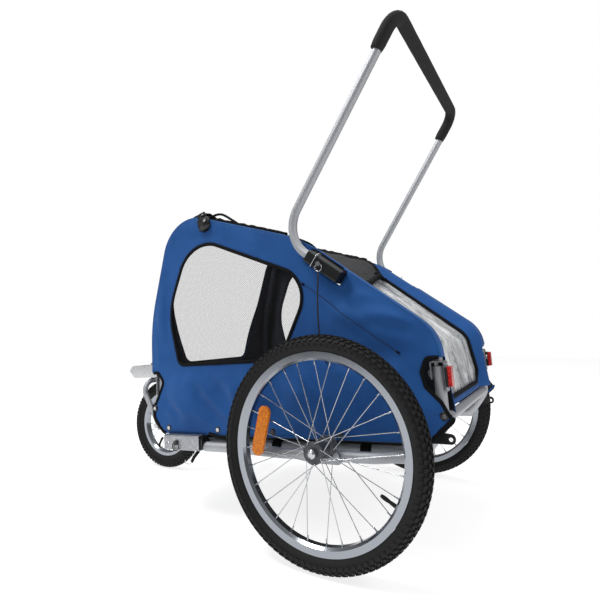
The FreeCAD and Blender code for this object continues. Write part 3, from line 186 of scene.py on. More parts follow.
def spokeSteel():  # drawn stainless wire: thin bright lines
    mat, skin, place = newFinish("steelStainlessWire", "#b9bbbe", 0.24, 1.0)
    streak = addNode(mat, "ShaderNodeTexNoise", {"Vector": place, "Scale": 1 / 0.006})
    addNode(mat, "ShaderNodeMapRange", {"Value": streak.outputs["Fac"], "To Min": 0.18, "To Max": 0.32},
            to=skin["Roughness"])
    return mat


def galvanisedSheet(name="steelGalvanisedSheet", dark="#8e9095", light="#b4b6ba", rough=0.42):
    # Pressed steel, hot-dip galvanised: pale grey with a faint 6 mm spangle
    mat, skin, place = newFinish(name, light, rough, 0.85)
    spangle = addNode(mat, "ShaderNodeTexVoronoi", {"Vector": place, "Scale": 1 / 0.006})
    addNode(mat, "ShaderNodeValToRGB", {"Fac": spangle.outputs["Distance"]}, [dark, light],
            skin["Base Color"])
    grain = addNode(mat, "ShaderNodeTexNoise", {"Vector": place, "Scale": 1 / 0.003, "Detail": 3.0})
    addNode(mat, "ShaderNodeBump", {"Height": grain.outputs["Fac"], "Distance": 0.0001, "Strength": 0.15},
            to=skin["Normal"])
    return mat


def blackNylon():  # moulded nylon: black with a dry, fine eroded grain
    mat, skin, place = newFinish("nylonMouldedBlack", "#0d0e0f", 0.36)
    grain = addNode(mat, "ShaderNodeTexNoise", {"Vector": place, "Scale": 1 / 0.0024, "Detail": 3.0})
    toneAndRelief(mat, skin, grain.outputs["Fac"], ["#090a0b", "#131416"], 0.00015, 0.5)
    return mat


clothThread = {"spacing": 0.003, "height": 0.00022, "dark": "#133e7a", "light": "#265c9e"}


def blueCloth(name="polyesterWovenBlue", dark=clothThread["dark"], light=clothThread["light"]):
    # 600 denier polyester, plain woven: even mid blue with a slight sheen on the folds.
    # The real threads are 0.5 mm apart, too fine to show, so they are drawn 3 mm apart.
    mat, skin, place = newFinish(name, light, 0.72)
    drift = addNode(mat, "ShaderNodeTexNoise", {"Vector": place, "Scale": 1 / 0.11, "Detail": 5.0})
    rate = bandRate(clothThread["spacing"])
    warp, weft = (addNode(mat, "ShaderNodeTexWave", {"Vector": place, "Scale": rate, "Distortion": 0.6},
                          bands_direction=axis).outputs["Fac"] for axis in "XZ")
    weave = addNode(mat, "ShaderNodeMath", {0: warp, 1: weft}, operation="MULTIPLY")
    tone = addNode(mat, "ShaderNodeMath", {0: weave.outputs[0], 1: 0.22, 2: drift.outputs["Fac"]},
                   operation="MULTIPLY_ADD")
    addNode(mat, "ShaderNodeValToRGB", {"Fac": tone.outputs[0]}, [dark, light], skin["Base Color"])
    addNode(mat, "ShaderNodeBump", {"Height": weave.outputs[0], "Distance": clothThread["height"],
                                    "Strength": 0.7}, to=skin["Normal"])
    skin["Sheen Weight"].default_value = 0.05
    skin["Sheen Roughness"].default_value = 0.4
    skin["Specular IOR Level"].default_value = 0.2
    return mat


def navyLining():  # coated back of the cloth: nearly black blue, dull
    mat, skin, place = newFinish("polyurethaneCoatedBack", "#141b2e", 0.8)
    grain = addNode(mat, "ShaderNodeTexNoise", {"Vector": place, "Scale": 1 / 0.005, "Detail": 4.0})
    toneAndRelief(mat, skin, grain.outputs["Fac"], ["#10141f", "#1e2536"], 0.0002, 0.3)
    return mat


netThread = {"spacing": 0.0042, "open": 0.05, "thread": 0.36, "denseOpen": 0.93}


def blackNet(name, plane, hole=netThread["open"], thread=netThread["thread"]):
    # Knitted black net: greys what is behind it. Its 1.5 mm holes are drawn 4 mm apart so that they show.
    mat, skin, place = newFinish(name, "#121316", 0.7)
    slant = addNode(mat, "ShaderNodeMapping", {"Vector": place, "Rotation": [
        0.0 if axis in plane else math.radians(45) for axis in "XYZ"]})
    rate = bandRate(netThread["spacing"])
    one, two = (addNode(mat, "ShaderNodeTexWave", {"Vector": slant.outputs[0], "Scale": rate},
                        bands_direction=axis).outputs["Fac"] for axis in plane)
    high = addNode(mat, "ShaderNodeMath", {0: one, 1: two}, operation="MAXIMUM")
    addNode(mat, "ShaderNodeMapRange", {"Value": high.outputs[0], "From Min": 0.7, "From Max": 0.95,
                                        "To Min": hole, "To Max": thread}, to=skin["Alpha"])
    addNode(mat, "ShaderNodeBump", {"Height": high.outputs[0], "Distance": 0.0004, "Strength": 0.6},
            to=skin["Normal"])
    return mat


def clearVinyl():  # calendered PVC film: glossy and crinkled so that it glints; the clear film is drawn white and mostly opaque, a painted reflection of the white surroundings
    mat, skin, place = newFinish("vinylFilmPaintedReflection", "#f1f3f4", 0.06)
    skin["Specular IOR Level"].default_value = 0.9
    skin["IOR"].default_value = 1.53
    streak = addNode(mat, "ShaderNodeMapping", {"Vector": place, "Scale": (0.3, 1.0, 0.3)}).outputs[0]
    # painted reflection: streaks where the white film is more or less opaque
    paintedReflection = addNode(mat, "ShaderNodeTexNoise", {"Vector": streak, "Scale": 1 / 0.03, "Detail": 5.0,
                                               "Distortion": 0.8})
    addNode(mat, "ShaderNodeMapRange", {"Value": paintedReflection.outputs["Fac"], "From Min": 0.38, "From Max": 0.66,
                                        "To Min": 0.4, "To Max": 0.94}, to=skin["Alpha"])
    crease = addNode(mat, "ShaderNodeTexNoise", {"Vector": streak, "Scale": 1 / 0.022, "Detail": 6.0,
                                                 "Distortion": 1.2})
    addNode(mat, "ShaderNodeBump", {"Height": crease.outputs["Fac"], "Distance": 0.006, "Strength": 0.8},
            to=skin["Normal"])
    skin["Coat Weight"].default_value = 0.6
    skin["Coat Roughness"].default_value = 0.04
    return mat


def blackWebbing():  # woven polypropylene tape: black, its ribs drawn 2.5 mm apart so that they show
    mat, skin, place = newFinish("polypropyleneTapeBlack", "#0d0e10", 0.85)
    skin["Specular IOR Level"].default_value = 0.15
    rib = addNode(mat, "ShaderNodeTexWave", {"Vector": place, "Scale": bandRate(0.0025), "Distortion": 1.0},
                  bands_direction="DIAGONAL")
    toneAndRelief(mat, skin, rib.outputs["Fac"], ["#070809", "#131417"], 0.0003, 0.5)
    return mat


def foamSleeve():  # closed-cell nitrile foam, skinned: soft black with 2 mm pits
    mat, skin, place = newFinish("nitrileFoamSleeve", "#141415", 0.85)
    pit = addNode(mat, "ShaderNodeTexVoronoi", {"Vector": place, "Scale": 1 / 0.002})
    toneAndRelief(mat, skin, pit.outputs["Distance"], ["#0a0a0b", "#18181a"], 0.0004, 0.6)
    return mat


def lensAcrylic(name, dark, light):  # moulded acrylic: clear skin over 4 mm prisms that sparkle
    mat, skin, place = newFinish(name, light, 0.18)
    prism = addNode(mat, "ShaderNodeTexVoronoi", {"Vector": place, "Scale": 1 / 0.004}, distance="MANHATTAN")
    toneAndRelief(mat, skin, prism.outputs["Distance"], [light, dark], 0.0006, 0.5)
    skin["Specular IOR Level"].default_value = 0.2
    skin["Coat Weight"].default_value = 0.15
    skin["Coat Roughness"].default_value = 0.05
    return mat


def flutedBoard():  # twin-wall polypropylene floor: black, dull, fluted every 6 mm
    mat, skin, place = newFinish("polypropyleneFlutedBoard", "#1a1b1c", 0.6)
    flute = addNode(mat, "ShaderNodeTexWave", {"Vector": place, "Scale": bandRate(0.006)},
                    bands_direction="Y")
    toneAndRelief(mat, skin, flute.outputs["Fac"], ["#141516", "#202123"], 0.0005, 0.5)
    return mat


def braidedCord():  # braided polyester cord: black with a 3 mm slanting lay
    mat, skin, place = newFinish("polyesterBraidedCord", "#161618", 0.75)
    lay = addNode(mat, "ShaderNodeTexWave", {"Vector": place, "Scale": bandRate(0.003)},
                  bands_direction="DIAGONAL")
    toneAndRelief(mat, skin, lay.outputs["Fac"], ["#0c0c0d", "#232326"], 0.0004, 0.6)
    return mat


finish = {
    "tyre_rubber": tyreRubber(),
    "rim_alloy": rimAlloy(),
    "hub_alloy": tubeAlloy("aluminiumHubPaintedShade", "#4c4e52", "#74767a"),  # forged; drawn darker than the tubes as painted shade among the spokes
    "spoke_steel": spokeSteel(),
    "fastener_steel": zincSteel(),
    "frame_alloy": tubeAlloy(),
    "bracket_steel": galvanisedSheet(),
    "black_plastic": blackNylon(),
    "floor_ply": flutedBoard(),
    "blue_cloth": blueCloth(),
    "black_mesh": blackNet("polyesterKnittedNet", "XZ"),
    "clear_pvc": clearVinyl(),
    "foam_grip": foamSleeve(),
    "red_lens": lensAcrylic("acrylicRedLens", "#a31216", "#e23a36"),
    "amber_lens": lensAcrylic("acrylicAmberLens", "#b86000", "#f28f0c"),
    "black_cord": braidedCord(),
}
lining = navyLining()
roofNet = blackNet("polyesterDenseNet", "XY", netThread["denseOpen"], 1.0)
doorNetting = blackNet("polyesterDoorNet", "YZ")
webbing = blackWebbing()
# piping in a lighter blue than the cloth: painted highlight along the cloth's edges
pipingClothPaintedHighlight = blueCloth("polyesterPipingPaintedHighlight", "#1d4780", "#30629f")


def coat(piece, mat):  # one finish on every slot of a frame piece
    if not piece.material_slots:
        piece.data.materials.append(mat)
    for materialSlot in piece.material_slots:
        materialSlot.material = mat


for part in frame["record"]["subparts"]:
    coat(nodes[part["node"]], finish[part["material_slot"]])
# The front arm is plated and drawn in a lighter copy of the sheet finish, painted light on its lit flat side; the
# tow pin is drawn black, painted shade in its hole
coat(nodes["front_arm"], galvanisedSheet("steelZincSheetPaintedLight", "#d6d8db", "#f3f4f5", 0.24))
# painted shade: the tow pin takes the black nylon finish for the shade in its hole
coat(nodes["tow_pin"], finish["black_plastic"])
print("finishes on", len(nodes), "frame pieces")


# Mesh tools
def newPiece(name, points, faces, mats, body="chassis", faceMats=None, shadeSmooth=True):
    mesh = bpy.data.meshes.new(name)
    mesh.from_pydata([tuple(p) for p in points], [], faces)
    for mat in mats if isinstance(mats, list) else [mats]:
        mesh.materials.append(mat)
    if faceMats:
        mesh.polygons.foreach_set("material_index", faceMats)
    bm = bmesh.new()
    bm.from_mesh(mesh)
    bmesh.ops.recalc_face_normals(bm, faces=bm.faces)
    bm.to_mesh(mesh)
    bm.free()
    if shadeSmooth:
        mesh.polygons.foreach_set("use_smooth", [True] * len(mesh.polygons))
    mesh.update()
    obj = bpy.data.objects.new(name, mesh)
    bpy.context.scene.collection.objects.link(obj)
    if body:
        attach(obj, body)
    return obj


def roundCorners(corners, closed=True, step=9.0, arcPieces=0):  # (x, z, radius) corners to a line with arcs
    points = []
    count = len(corners)
    for i, (x, z, radius) in enumerate(corners):
        here = Vector((x, z))
        if radius <= 0 or (not closed and i in (0, count - 1)):
            points.append(here)
            continue
        before = (Vector(corners[i - 1][:2]) - here).normalized()
        after = (Vector(corners[(i + 1) % count][:2]) - here).normalized()
        half = (math.pi - before.angle(after)) / 2
        reach = radius * math.tan(half)
        centre = here + (before + after).normalized() * radius / math.cos(half)
        start = here + before * reach - centre
        pieces = arcPieces or max(3, round(2 * half * radius / step))
        spin = 2 * half if before.cross(after) < 0 else -2 * half
        for k in range(pieces + 1):
            a = spin * k / pieces
            points.append(centre + Vector((start.x * math.cos(a) - start.y * math.sin(a),
                                           start.x * math.sin(a) + start.y * math.cos(a))))
    return points


def even(points, step, closed):  # the same line with points about a step apart
    line = list(points) + ([points[0]] if closed else [])
    result = []
    for a, b in zip(line, line[1:]):
        parts = max(1, round((b - a).length / step))
        result += [a.lerp(b, k / parts) for k in range(parts)]
    if not closed:
        result.append(line[-1])
    return result


boxFaces = ((4, 5, 6, 7), (0, 1, 5, 4), (1, 2, 6, 5), (2, 3, 7, 6), (3, 0, 4, 7), (3, 2, 1, 0))
tapeSection = ((-0.5, -0.3), (-0.5, 0.35), (-0.25, 0.85), (0.0, 1.0), (0.25, 0.85), (0.5, 0.35), (0.5, -0.3))


def angles(count):  # a full turn in even steps
    return [2 * math.pi * k / count for k in range(count)]


def headings(line, closed):  # direction of a line at each of its points
    count = len(line)
    result = []
    for i in range(count):
        ahead = line[(i + 1) % count] if closed or i < count - 1 else line[i]
        behind = line[i - 1] if closed or i > 0 else line[i]
        result.append((ahead - behind).normalized())
    return result


def ringFaces(rings, sides, closed=False, start=0):  # joins rings of points, capped unless closed
    faces = []
    for i in range(rings if closed else rings - 1):
        a, b = start + i * sides, start + (i + 1) % rings * sides
        faces += [(a + k, a + (k + 1) % sides, b + (k + 1) % sides, b + k) for k in range(sides)]
    if not closed:
        faces.append(tuple(reversed(range(start, start + sides))))
        faces.append(tuple(range(start + (rings - 1) * sides, start + rings * sides)))
    return faces


def tape(name, line, out, width, height, closed=False):
    # A crowned webbing strip along a line of points; out gives the outward direction at each
    points = []
    for here, along, up in zip(line, headings(line, closed), out):
        up = up.normalized()
        across = along.cross(up).normalized()
        points += [here + across * (u * width / 1000) + up * (v * height / 1000) for u, v in tapeSection]
    return newPiece(name, points, ringFaces(len(line), len(tapeSection), closed), webbing, "chassis")


def roundBar(name, line, radius, mat, body="chassis", closed=False, sides=10):
    # A round bar or roll through points, in metres; a list gives a radius for each point
    points = []
    side = Vector((0.3, 0.5, 0.81)).normalized()  # any start, then carried along without twist
    for i, along in enumerate(headings(line, closed)):
        side = (side - along * side.dot(along)).normalized()
        other = along.cross(side)
        r = radius[i] if isinstance(radius, list) else radius
        points += [line[i] + (side * math.cos(a) + other * math.sin(a)) * r for a in angles(sides)]
    return newPiece(name, points, ringFaces(len(line), sides, closed), mat, body)


def splinePoints(route, pieces=8):  # points read from a NURBS spline through a route
    curve = bpy.data.curves.new("routeCurve", "CURVE")
    curve.dimensions = "3D"
    curve.resolution_u = pieces
    spline = curve.splines.new("NURBS")
    spline.points.add(len(route) - 1)
    for point, place in zip(spline.points, route):
        point.co = (*place, 1.0)
    spline.order_u = 3
    spline.use_endpoint_u = True
    holder = bpy.data.objects.new("routeCurve", curve)
    bpy.context.scene.collection.objects.link(holder)
    bpy.context.view_layer.update()
    mesh = bpy.data.meshes.new_from_object(holder.evaluated_get(bpy.context.evaluated_depsgraph_get()))
    line = [v.co.copy() for v in mesh.vertices]
    bpy.data.objects.remove(holder)
    return line


# Lanyard of the left handle pin: it leaves the pin's ring, hangs, and ends at a tab on the cloth
lanyard = {
    "diameter": 4.0,
    "length": 0.222,
    "ringAcross": 0.317,
    "ringBelow": 0.0024,
    "knotAt": 0.62,  # share of the way down
    "knotRing": 0.0035,
    "knotRise": 0.0012,
    "knotRadius": 0.0019,
    "steps": [(1.2, 1.0, -38), (-1.4, 1.5, -50), (-3.0, -1.0, -50), (-3.5, -6.0, -43), (-1.5, -12.5, -24),
              (0.0, -10.6, -5)],
}
pinLow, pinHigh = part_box("left_handle_pin")
lanyardRoute = [Vector(((pinLow[0] + pinHigh[0]) / 2, lanyard["ringAcross"],
                        pinLow[2] - lanyard["ringBelow"]))]
for step in lanyard["steps"]:
    lanyardRoute.append(lanyardRoute[-1] + Vector(step) / 1000)
lanyardLine = splinePoints(lanyardRoute)
pinCord = roundBar("pinLanyard", lanyardLine, lanyard["diameter"] / 2000, finish["black_cord"], None, sides=8)
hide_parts("pin_lanyard")
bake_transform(pinCord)
knotSpot = lanyardLine[int(lanyard["knotAt"] * len(lanyardLine))]
knotLine = [knotSpot + Vector((lanyard["knotRing"] * math.sin(a), lanyard["knotRing"] * math.cos(a),
                               lanyard["knotRise"] * math.sin(2 * a))) for a in angles(16)]
lanyardKnot = roundBar("lanyardKnot", knotLine, lanyard["knotRadius"], finish["black_cord"], None,
                       closed=True, sides=8)
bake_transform(lanyardKnot)
print("lanyard hung")

# The rear slope, from the ridge down
ridge = Vector((76.42, 473.33))
slopeDown = Vector((-0.7835, -0.6214))
slopeOut = Vector((-0.6214, 0.7835))


def onSlope(along, out):  # a point along the rear slope, from the ridge
    return ridge + slopeDown * along + slopeOut * out


# Wire clip of each handle pin: it snaps round the outside of the socket
clip = {"along": 84, "reach": 20, "tuck": 12, "proud": 3.0, "bow": 0.6, "radius": 1.3}
for side, sideName in bothSides:
    socketLow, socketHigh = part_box(sideName + "_handle_socket")
    face = 1000 * max(abs(socketLow[1]), abs(socketHigh[1]))
    route = []
    for out, y in ((clip["reach"], -clip["tuck"]), (clip["reach"], clip["proud"]),
                   (0, clip["proud"] + clip["bow"]), (-clip["reach"], clip["proud"]),
                   (-clip["reach"], -clip["tuck"])):
        flat = onSlope(clip["along"], out)
        route.append(spot(flat.x, side * (face + y), flat.y))
    roundBar(sideName + "PinWireClip", splinePoints(route), clip["radius"] / 1000, finish["fastener_steel"],
             sideName + "_pin", sides=8)
print("pin clips bent")

# Studio: white floor and surroundings, large soft lights, dimmer low down so that the metal keeps its tone
studio = {"floor": "#b4b4b4", "floorGlow": 0.8, "floorSize": 9.0, "floorAt": (0, -2.3, -0.0005),
          "skyLow": 0.14, "skyHigh": 0.4}
floorMat, floorSkin = newFinish("paperPaleSweep", studio["floor"], 0.9)[:2]
floorSkin["Emission Color"].default_value = linear("#ffffff")
floorSkin["Emission Strength"].default_value = studio["floorGlow"]
bpy.ops.mesh.primitive_plane_add(size=studio["floorSize"], location=studio["floorAt"])
floorPiece = bpy.context.object
floorPiece.name = "floorSweep"
floorPiece.data.materials.append(floorMat)
world = bpy.data.worlds.new("studioWhite")
bpy.context.scene.world = world
world.use_nodes = True
sky = world.node_tree.nodes["Background"]
sky.inputs["Color"].default_value = linear("#ffffff")
skyPlace = addNode(world, "ShaderNodeTexCoord").outputs["Generated"]
height = addNode(world, "ShaderNodeSeparateXYZ", {"Vector": skyPlace})
glow = addNode(world, "ShaderNodeMapRange", {"Value": height.outputs["Z"], "From Min": -0.1, "From Max": 0.9,
                                             "To Min": studio["skyLow"], "To Max": studio["skyHigh"]})
seen = addNode(world, "ShaderNodeLightPath").outputs["Is Camera Ray"]
addNode(world, "ShaderNodeMath", {0: glow.outputs[0], 1: seen}, to=sky.inputs["Strength"],
        operation="MAXIMUM")
bpy.context.scene.view_settings.view_transform = "Standard"
for name, place, aim, sizeSide, power in (
        ("keySoftbox", (0.9, 1.5, 3.2), (0.0, 0.2, 0.4), 1.0, 68),
        ("frontSoftbox", (2.6, 1.4, 1.2), (0.2, 0, 0.4), 1.0, 6),
        ("rearSoftbox", (-2.4, 0.4, 2.0), (-0.2, 0, 0.4), 1.0, 16),
        ("topSoftbox", (0.2, -0.8, 2.9), (0, 0, 0.4), 1.6, 22)):
    light = bpy.data.lights.new(name, "AREA")
    light.size = sizeSide
    light.energy = power
    lamp = bpy.data.objects.new(name, light)
    bpy.context.scene.collection.objects.link(lamp)
    lamp.location = place
    lamp.rotation_euler = (Vector(aim) - Vector(place)).to_track_quat("-Z", "Y").to_euler()
print("studio lit")

# Cabin cloth. Outlines are corners (x, z, radius) in chassis millimetres, seen from the left.
cabin = {
    "outline": [(-219, 6, 20), (546, 6, 16), (583, 40, 36), (590, 100, 40), (590, 318, 500), (498, 642, 115),
                (64, 489, 400), (-255, 236, 100), (-273, 52, 12)],
    "window": [(140, 192, 18), (482, 192, 22), (518, 345, 190), (426, 557, 104), (36, 382, 78)],
    "rearNotch": [(-320, 180, 0), (-228, 180, 12), (-216, 150, 12), (-222, 120, 12), (-252, 88, 12),
                  (-266, 60, 0), (-320, 60, 0)],
    "frontNotch": [(640, 172, 0), (566, 172, 8), (546, 145, 12), (560, 118, 12), (578, 85, 0), (640, 80, 0)],
    "hemCorners": ((534, 640, 84), (-320, -214, 60)),  # from x, to x, up to z
    "sideAt": 285.0,
    "thickness": 1.8,
    "meshStep": 8.0,
    "hemFoot": 6.0,
    "hemHeight": 25.0,
    "hemLift": 1.4,
    "foldDepth": 1.0,
    "foldBroad": 1.7,
    "dart": ((58, 371), (-166, 196)),
    "dartRadius": 0.0009,
    "piping": 2.4,
    "pipingAt": -1.5,
    "netAt": -2.6,
    "netSag": 3.0,
}
# Folds in the sides: from, to, half width, height
sideFolds = [
    ((-26, 347), (-196, 270), 11, 6.0), ((-50, 312), (-206, 252), 9, -4.5),
    ((-61, 299), (-219, 245), 10, 5.0), ((-122, 260), (-215, 213), 9, 5.5),
    ((-90, 268), (-212, 228), 8, -4.0),
    ((58, 372), (-172, 192), 4, -3.0), ((10, 333), (-119, 231), 10, 4.5), ((40, 330), (-140, 190), 9, -3.5),
    ((468, 149), (415, 100), 9, 5.0), ((440, 160), (385, 105), 8, -4.0), ((304, 133), (269, 99), 9, 4.5),
    ((340, 150), (300, 95), 10, -4.0), ((535, 75), (493, 40), 10, 5.0), ((392, 164), (349, 114), 9, 5.5),
    ((548, 127), (444, 46), 11, 6.0), ((552, 108), (480, 40), 9, -4.5), ((-7, 174), (-73, 118), 11, 5.5),
    ((98, 125), (51, 68), 12, 5.5), ((-42, 127), (-102, 38), 12, -5.0), ((60, 150), (-30, 60), 11, -5.0),
    ((250, 150), (190, 70), 12, 4.0), ((170, 170), (120, 90), 10, -4.0), ((-120, 150), (-170, 60), 12, 5.0),
    ((560, 430), (548, 260), 13, 3.0), ((520, 590), (430, 610), 9, 2.6), ((330, 560), (120, 480), 8, 2.0),
]
# Fields of slanting wrinkles: middle, reach, angle of the creases, spacing, height
sideWrinkles = [
    ((360, 100), (240, 85), 45, 62, 10.5), ((-115, 268), (135, 85), 24, 44, 12.0),
    ((10, 105), (170, 95), 46, 66, 11.5), ((-185, 110), (80, 90), 60, 50, 8.5),
    ((330, 590), (190, 45), 70, 40, 3.0), ((560, 330), (35, 200), 84, 40, 4.5),
]
# Black tape on the edges of the sides: width, height, distance of its middle off the cloth's plane
sideTapes = {"window": (9.0, 2.4, 0.2), "notch": (8.0, 2.2, 0.2), "corner": (11.0, 2.4, 0.3)}


def insideMask(points, loop):  # which points are inside a closed loop
    p = np.array([tuple(q) for q in points])
    hit = np.zeros(len(p), bool)
    for a, b in zip(loop, loop[1:] + loop[:1]):
        if a.y == b.y:
            continue
        level = (a.y > p[:, 1]) != (b.y > p[:, 1])
        hit ^= level & (p[:, 0] < (b.x - a.x) * (p[:, 1] - a.y) / (b.y - a.y) + a.x)
    return hit


def clothCut(outline, holes, step):  # a flat cut of cloth in even triangles
    loops = [even(loop, step, True) for loop in [outline] + holes]
    border = [p for loop in loops for p in loop]
    edges = []
    for loop in loops:
        start = sum(len(done) for done in loops[:loops.index(loop)])
        edges += [(start + k, start + (k + 1) % len(loop)) for k in range(len(loop))]
    low = Vector((min(p.x for p in outline), min(p.y for p in outline)))
    high = Vector((max(p.x for p in outline), max(p.y for p in outline)))
    rowStep = step * 0.866
    grid = [Vector((low.x + (col + 0.5 * (row % 2)) * step, low.y + row * rowStep))
            for row in range(int((high.y - low.y) / rowStep) + 1)
            for col in range(int((high.x - low.x) / step) + 1)]
    kept = insideMask(grid, loops[0])
    for hole in loops[1:]:
        kept &= ~insideMask(grid, hole)
    edgeXY = np.array([tuple(p) for p in border])
    gridXY = np.array([tuple(p) for p in grid])
    for i in np.nonzero(kept)[0]:
        kept[i] = ((edgeXY - gridXY[i]) ** 2).sum(1).min() > (0.55 * step) ** 2
    points = border + [p for p, k in zip(grid, kept) if k]
    flat, _, triangles = delaunay_2d_cdt(points, edges, [], 0, 1e-4)[:3]
    middles = [sum((flat[i] for i in tri), Vector((0, 0))) / 3 for tri in triangles]
    good = insideMask(middles, loops[0])
    for hole in loops[1:]:
        good &= ~insideMask(middles, hole)
    faces = [tuple(tri) for tri, k in zip(triangles, good) if k]
    used = sorted({i for f in faces for i in f})
    number = {old: new for new, old in enumerate(used)}
    return [flat[i] for i in used], [tuple(number[i] for i in f) for f in faces]


def openEdges(faces):  # edges with a face on one side only
    seen = {}
    for face in faces:
        for a, b in zip(face, face[1:] + face[:1]):
            seen.setdefault(frozenset((a, b)), []).append((a, b))
    return [pairs[0] for pairs in seen.values() if len(pairs) == 1]


def edgeDistance(flat, faces):  # how far each point is from the cut's nearest edge
    rim = np.array([tuple(flat[i]) for i in {i for pair in openEdges(faces) for i in pair}])
    return [float(np.sqrt(((rim - np.array(tuple(p))) ** 2).sum(1).min())) for p in flat]


def doubleCloth(name, outside, inside, faces):
    # Blue outside, coated inside, closed along every edge
    n = len(outside)
    allFaces = list(faces) + [tuple(i + n for i in reversed(f)) for f in faces]
    kinds = [0] * len(faces) + [1] * len(faces)
    for a, b in openEdges(faces):
        allFaces.append((b, a, a + n, b + n))
        kinds.append(0)
    return newPiece(name, outside + inside, allFaces, [finish["blue_cloth"], lining], "chassis",
                    kinds)


def grow(loop, distance):  # a closed outline moved outwards
    turnSum = sum(a.cross(b) for a, b in zip(loop, loop[1:] + loop[:1]))
    result = []
    for i, p in enumerate(loop):
        along = (loop[(i + 1) % len(loop)] - loop[i - 1]).normalized()
        normal = Vector((along.y, -along.x)) * (1 if turnSum > 0 else -1)
        result.append(p + normal * distance)
    return result


def runsOutside(points, patches, wanted=False):  # stretches of a closed line outside (or inside) all patches
    state = np.zeros(len(points), bool)
    for patch in patches:
        state |= insideMask(points, patch)
    if not wanted:
        state = ~state
    if state.all():
        return [points + points[:1]]
    start = next(i for i in range(len(points)) if not state[i])
    found, run = [], []
    for k in range(1, len(points) + 1):
        i = (start + k) % len(points)
        if state[i]:
            run.append(points[i])
        elif run:
            found.append(run)
            run = []
    return [r for r in found if len(r) > 2]


def rectangle(x0, x1, y0, y1):
    return [Vector((x0, y0)), Vector((x1, y0)), Vector((x1, y1)), Vector((x0, y1))]


socketSeat = {"from": 50, "to": 162, "below": -19, "above": 60}  # along the slope and off it
sideOutline = even(roundCorners(cabin["outline"]), 8, True)
windowOutline = even(roundCorners(cabin["window"]), 8, True)
rearPatch, frontPatch = (even(roundCorners(cabin[name]), 5, True) for name in ("rearNotch", "frontNotch"))
socketPatch = even([onSlope(socketSeat[a], socketSeat[b]) for a, b in (
    ("from", "below"), ("to", "below"), ("to", "above"), ("from", "above"))], 5, True)
sidePatches = [rearPatch, frontPatch, socketPatch]
hemCorners = [rectangle(a, b, -20, top) for a, b, top in cabin["hemCorners"]]


def foldLift(x, z):  # the single folds
    total = 0.0
    for begin, end, width, height in sideFolds:
        a, b = Vector(begin), Vector(end)
        span = (b - a).length
        along = (Vector((x, z)) - a).dot(b - a) / span ** 2
        off = (Vector((x, z)) - a).cross(b - a) / span
        broad = cabin["foldBroad"] * width
        if -0.1 < along < 1.1 and abs(off) < 3 * broad:
            ends = smooth(along, -0.05, 0.3) * smooth(1 - along, -0.05, 0.35)
            total += cabin["foldDepth"] * height * math.exp(-(off / broad) ** 2) * ends
    return total


def wrinkleLift(x, z, side):  # the fields of wrinkles
    total = 0.0
    for (midX, midZ), (reachX, reachZ), angle, spacing, height in sideWrinkles:
        fade = 1 - math.hypot((x - midX) / reachX, (z - midZ) / reachZ)
        if fade > 0:
            c, s = math.cos(math.radians(angle)), math.sin(math.radians(angle))
            across = (x * s - z * c) / spacing
            along = (x * c + z * s) / (5 * spacing)
            wave = noise.noise(Vector((across, along, 20.0 + side)))
            crest = 1.26 - 2.4 * math.hypot(wave, 0.11)  # rounded ridges
            total += height * smooth(fade, 0, 0.45) * crest
    return total


def sideLift(x, z, gap, side):  # how far the side cloth stands off its flat plane
    broad = 2.2 * noise.noise(Vector((x / 150, z / 150, 3.0 + side)))
    fine = 0.6 * noise.noise(Vector((x / 38, z / 38, side)))
    hemTop = cabin["hemFoot"] + cabin["hemHeight"]
    hem = cabin["hemLift"] * (1 - smooth(z, hemTop - 3, hemTop + 1))
    return smooth(gap, 3, 30) * (broad + fine + foldLift(x, z) + wrinkleLift(x, z, side)) + hem


def sideSpots(line, side, lift):  # a flat line laid this far off the side's plane
    return [spot(p.x, side * (cabin["sideAt"] + lift), p.y) for p in line]


def sideTape(name, line, side, kind, closed=False):
    width, height, lift = sideTapes[kind]
    return tape(name, sideSpots(line, side, lift), [Vector((0, side, 0))] * len(line), width, height, closed)


sideFlat, sideFaces = clothCut(sideOutline, [windowOutline] + sidePatches, cabin["meshStep"])
sideGap = edgeDistance(sideFlat, sideFaces)
netFlat, netFaces = clothCut(even(grow(windowOutline, 8), 10, True), [], 16)

stitch = {"long": 3.4, "pitch": 6.0, "windowLift": 1.2, "hemLift": 0.8, "corners": (
    (-0.5, -0.45, 0), (0.5, -0.45, 0), (0.5, 0.45, 0), (-0.5, 0.45, 0), (-0.3, -0.25, 0.6), (0.3, -0.25, 0.6),
    (0.3, 0.25, 0.6), (-0.3, 0.25, 0.6))}


def stitches(name, line, up):  # a sewn row, drawn coarse so that it shows
    walk = even([p * 1000 for p in line], stitch["pitch"], False)
    points, faces = [], []
    for here, after in zip(walk, walk[1:]):
        along = (after - here).normalized()
        across = along.cross(up).normalized()
        faces += [tuple(len(points) + k for k in quad) for quad in boxFaces]
        points += [(here + along * (u * stitch["long"]) + across * v + up * w) / 1000
                   for u, v, w in stitch["corners"]]
    return newPiece(name, points, faces, lining, "chassis", shadeSmooth=False)


# Dark cloth sleeves on the hoops, left open where the handle sockets sit
sleeve = {"line": [(570, 186, 0), (570, 315.2, 480), (484.6, 616.1, 95), (73.8, 471.3, 380),
                   (-188, 263.7, 0)],
          "hoopAt": 262.0, "radius": 11.2, "socket": (42, 170)}
sleeveRuns = [[]]
for p in even(roundCorners(sleeve["line"], closed=False), 12, False):
    if sleeve["socket"][0] < (p - ridge).dot(slopeDown) < sleeve["socket"][1] and p.x < ridge.x:
        sleeveRuns.append([])
    else:
        sleeveRuns[-1].append(p)
sleeveRuns = [run for run in sleeveRuns if len(run) > 2]

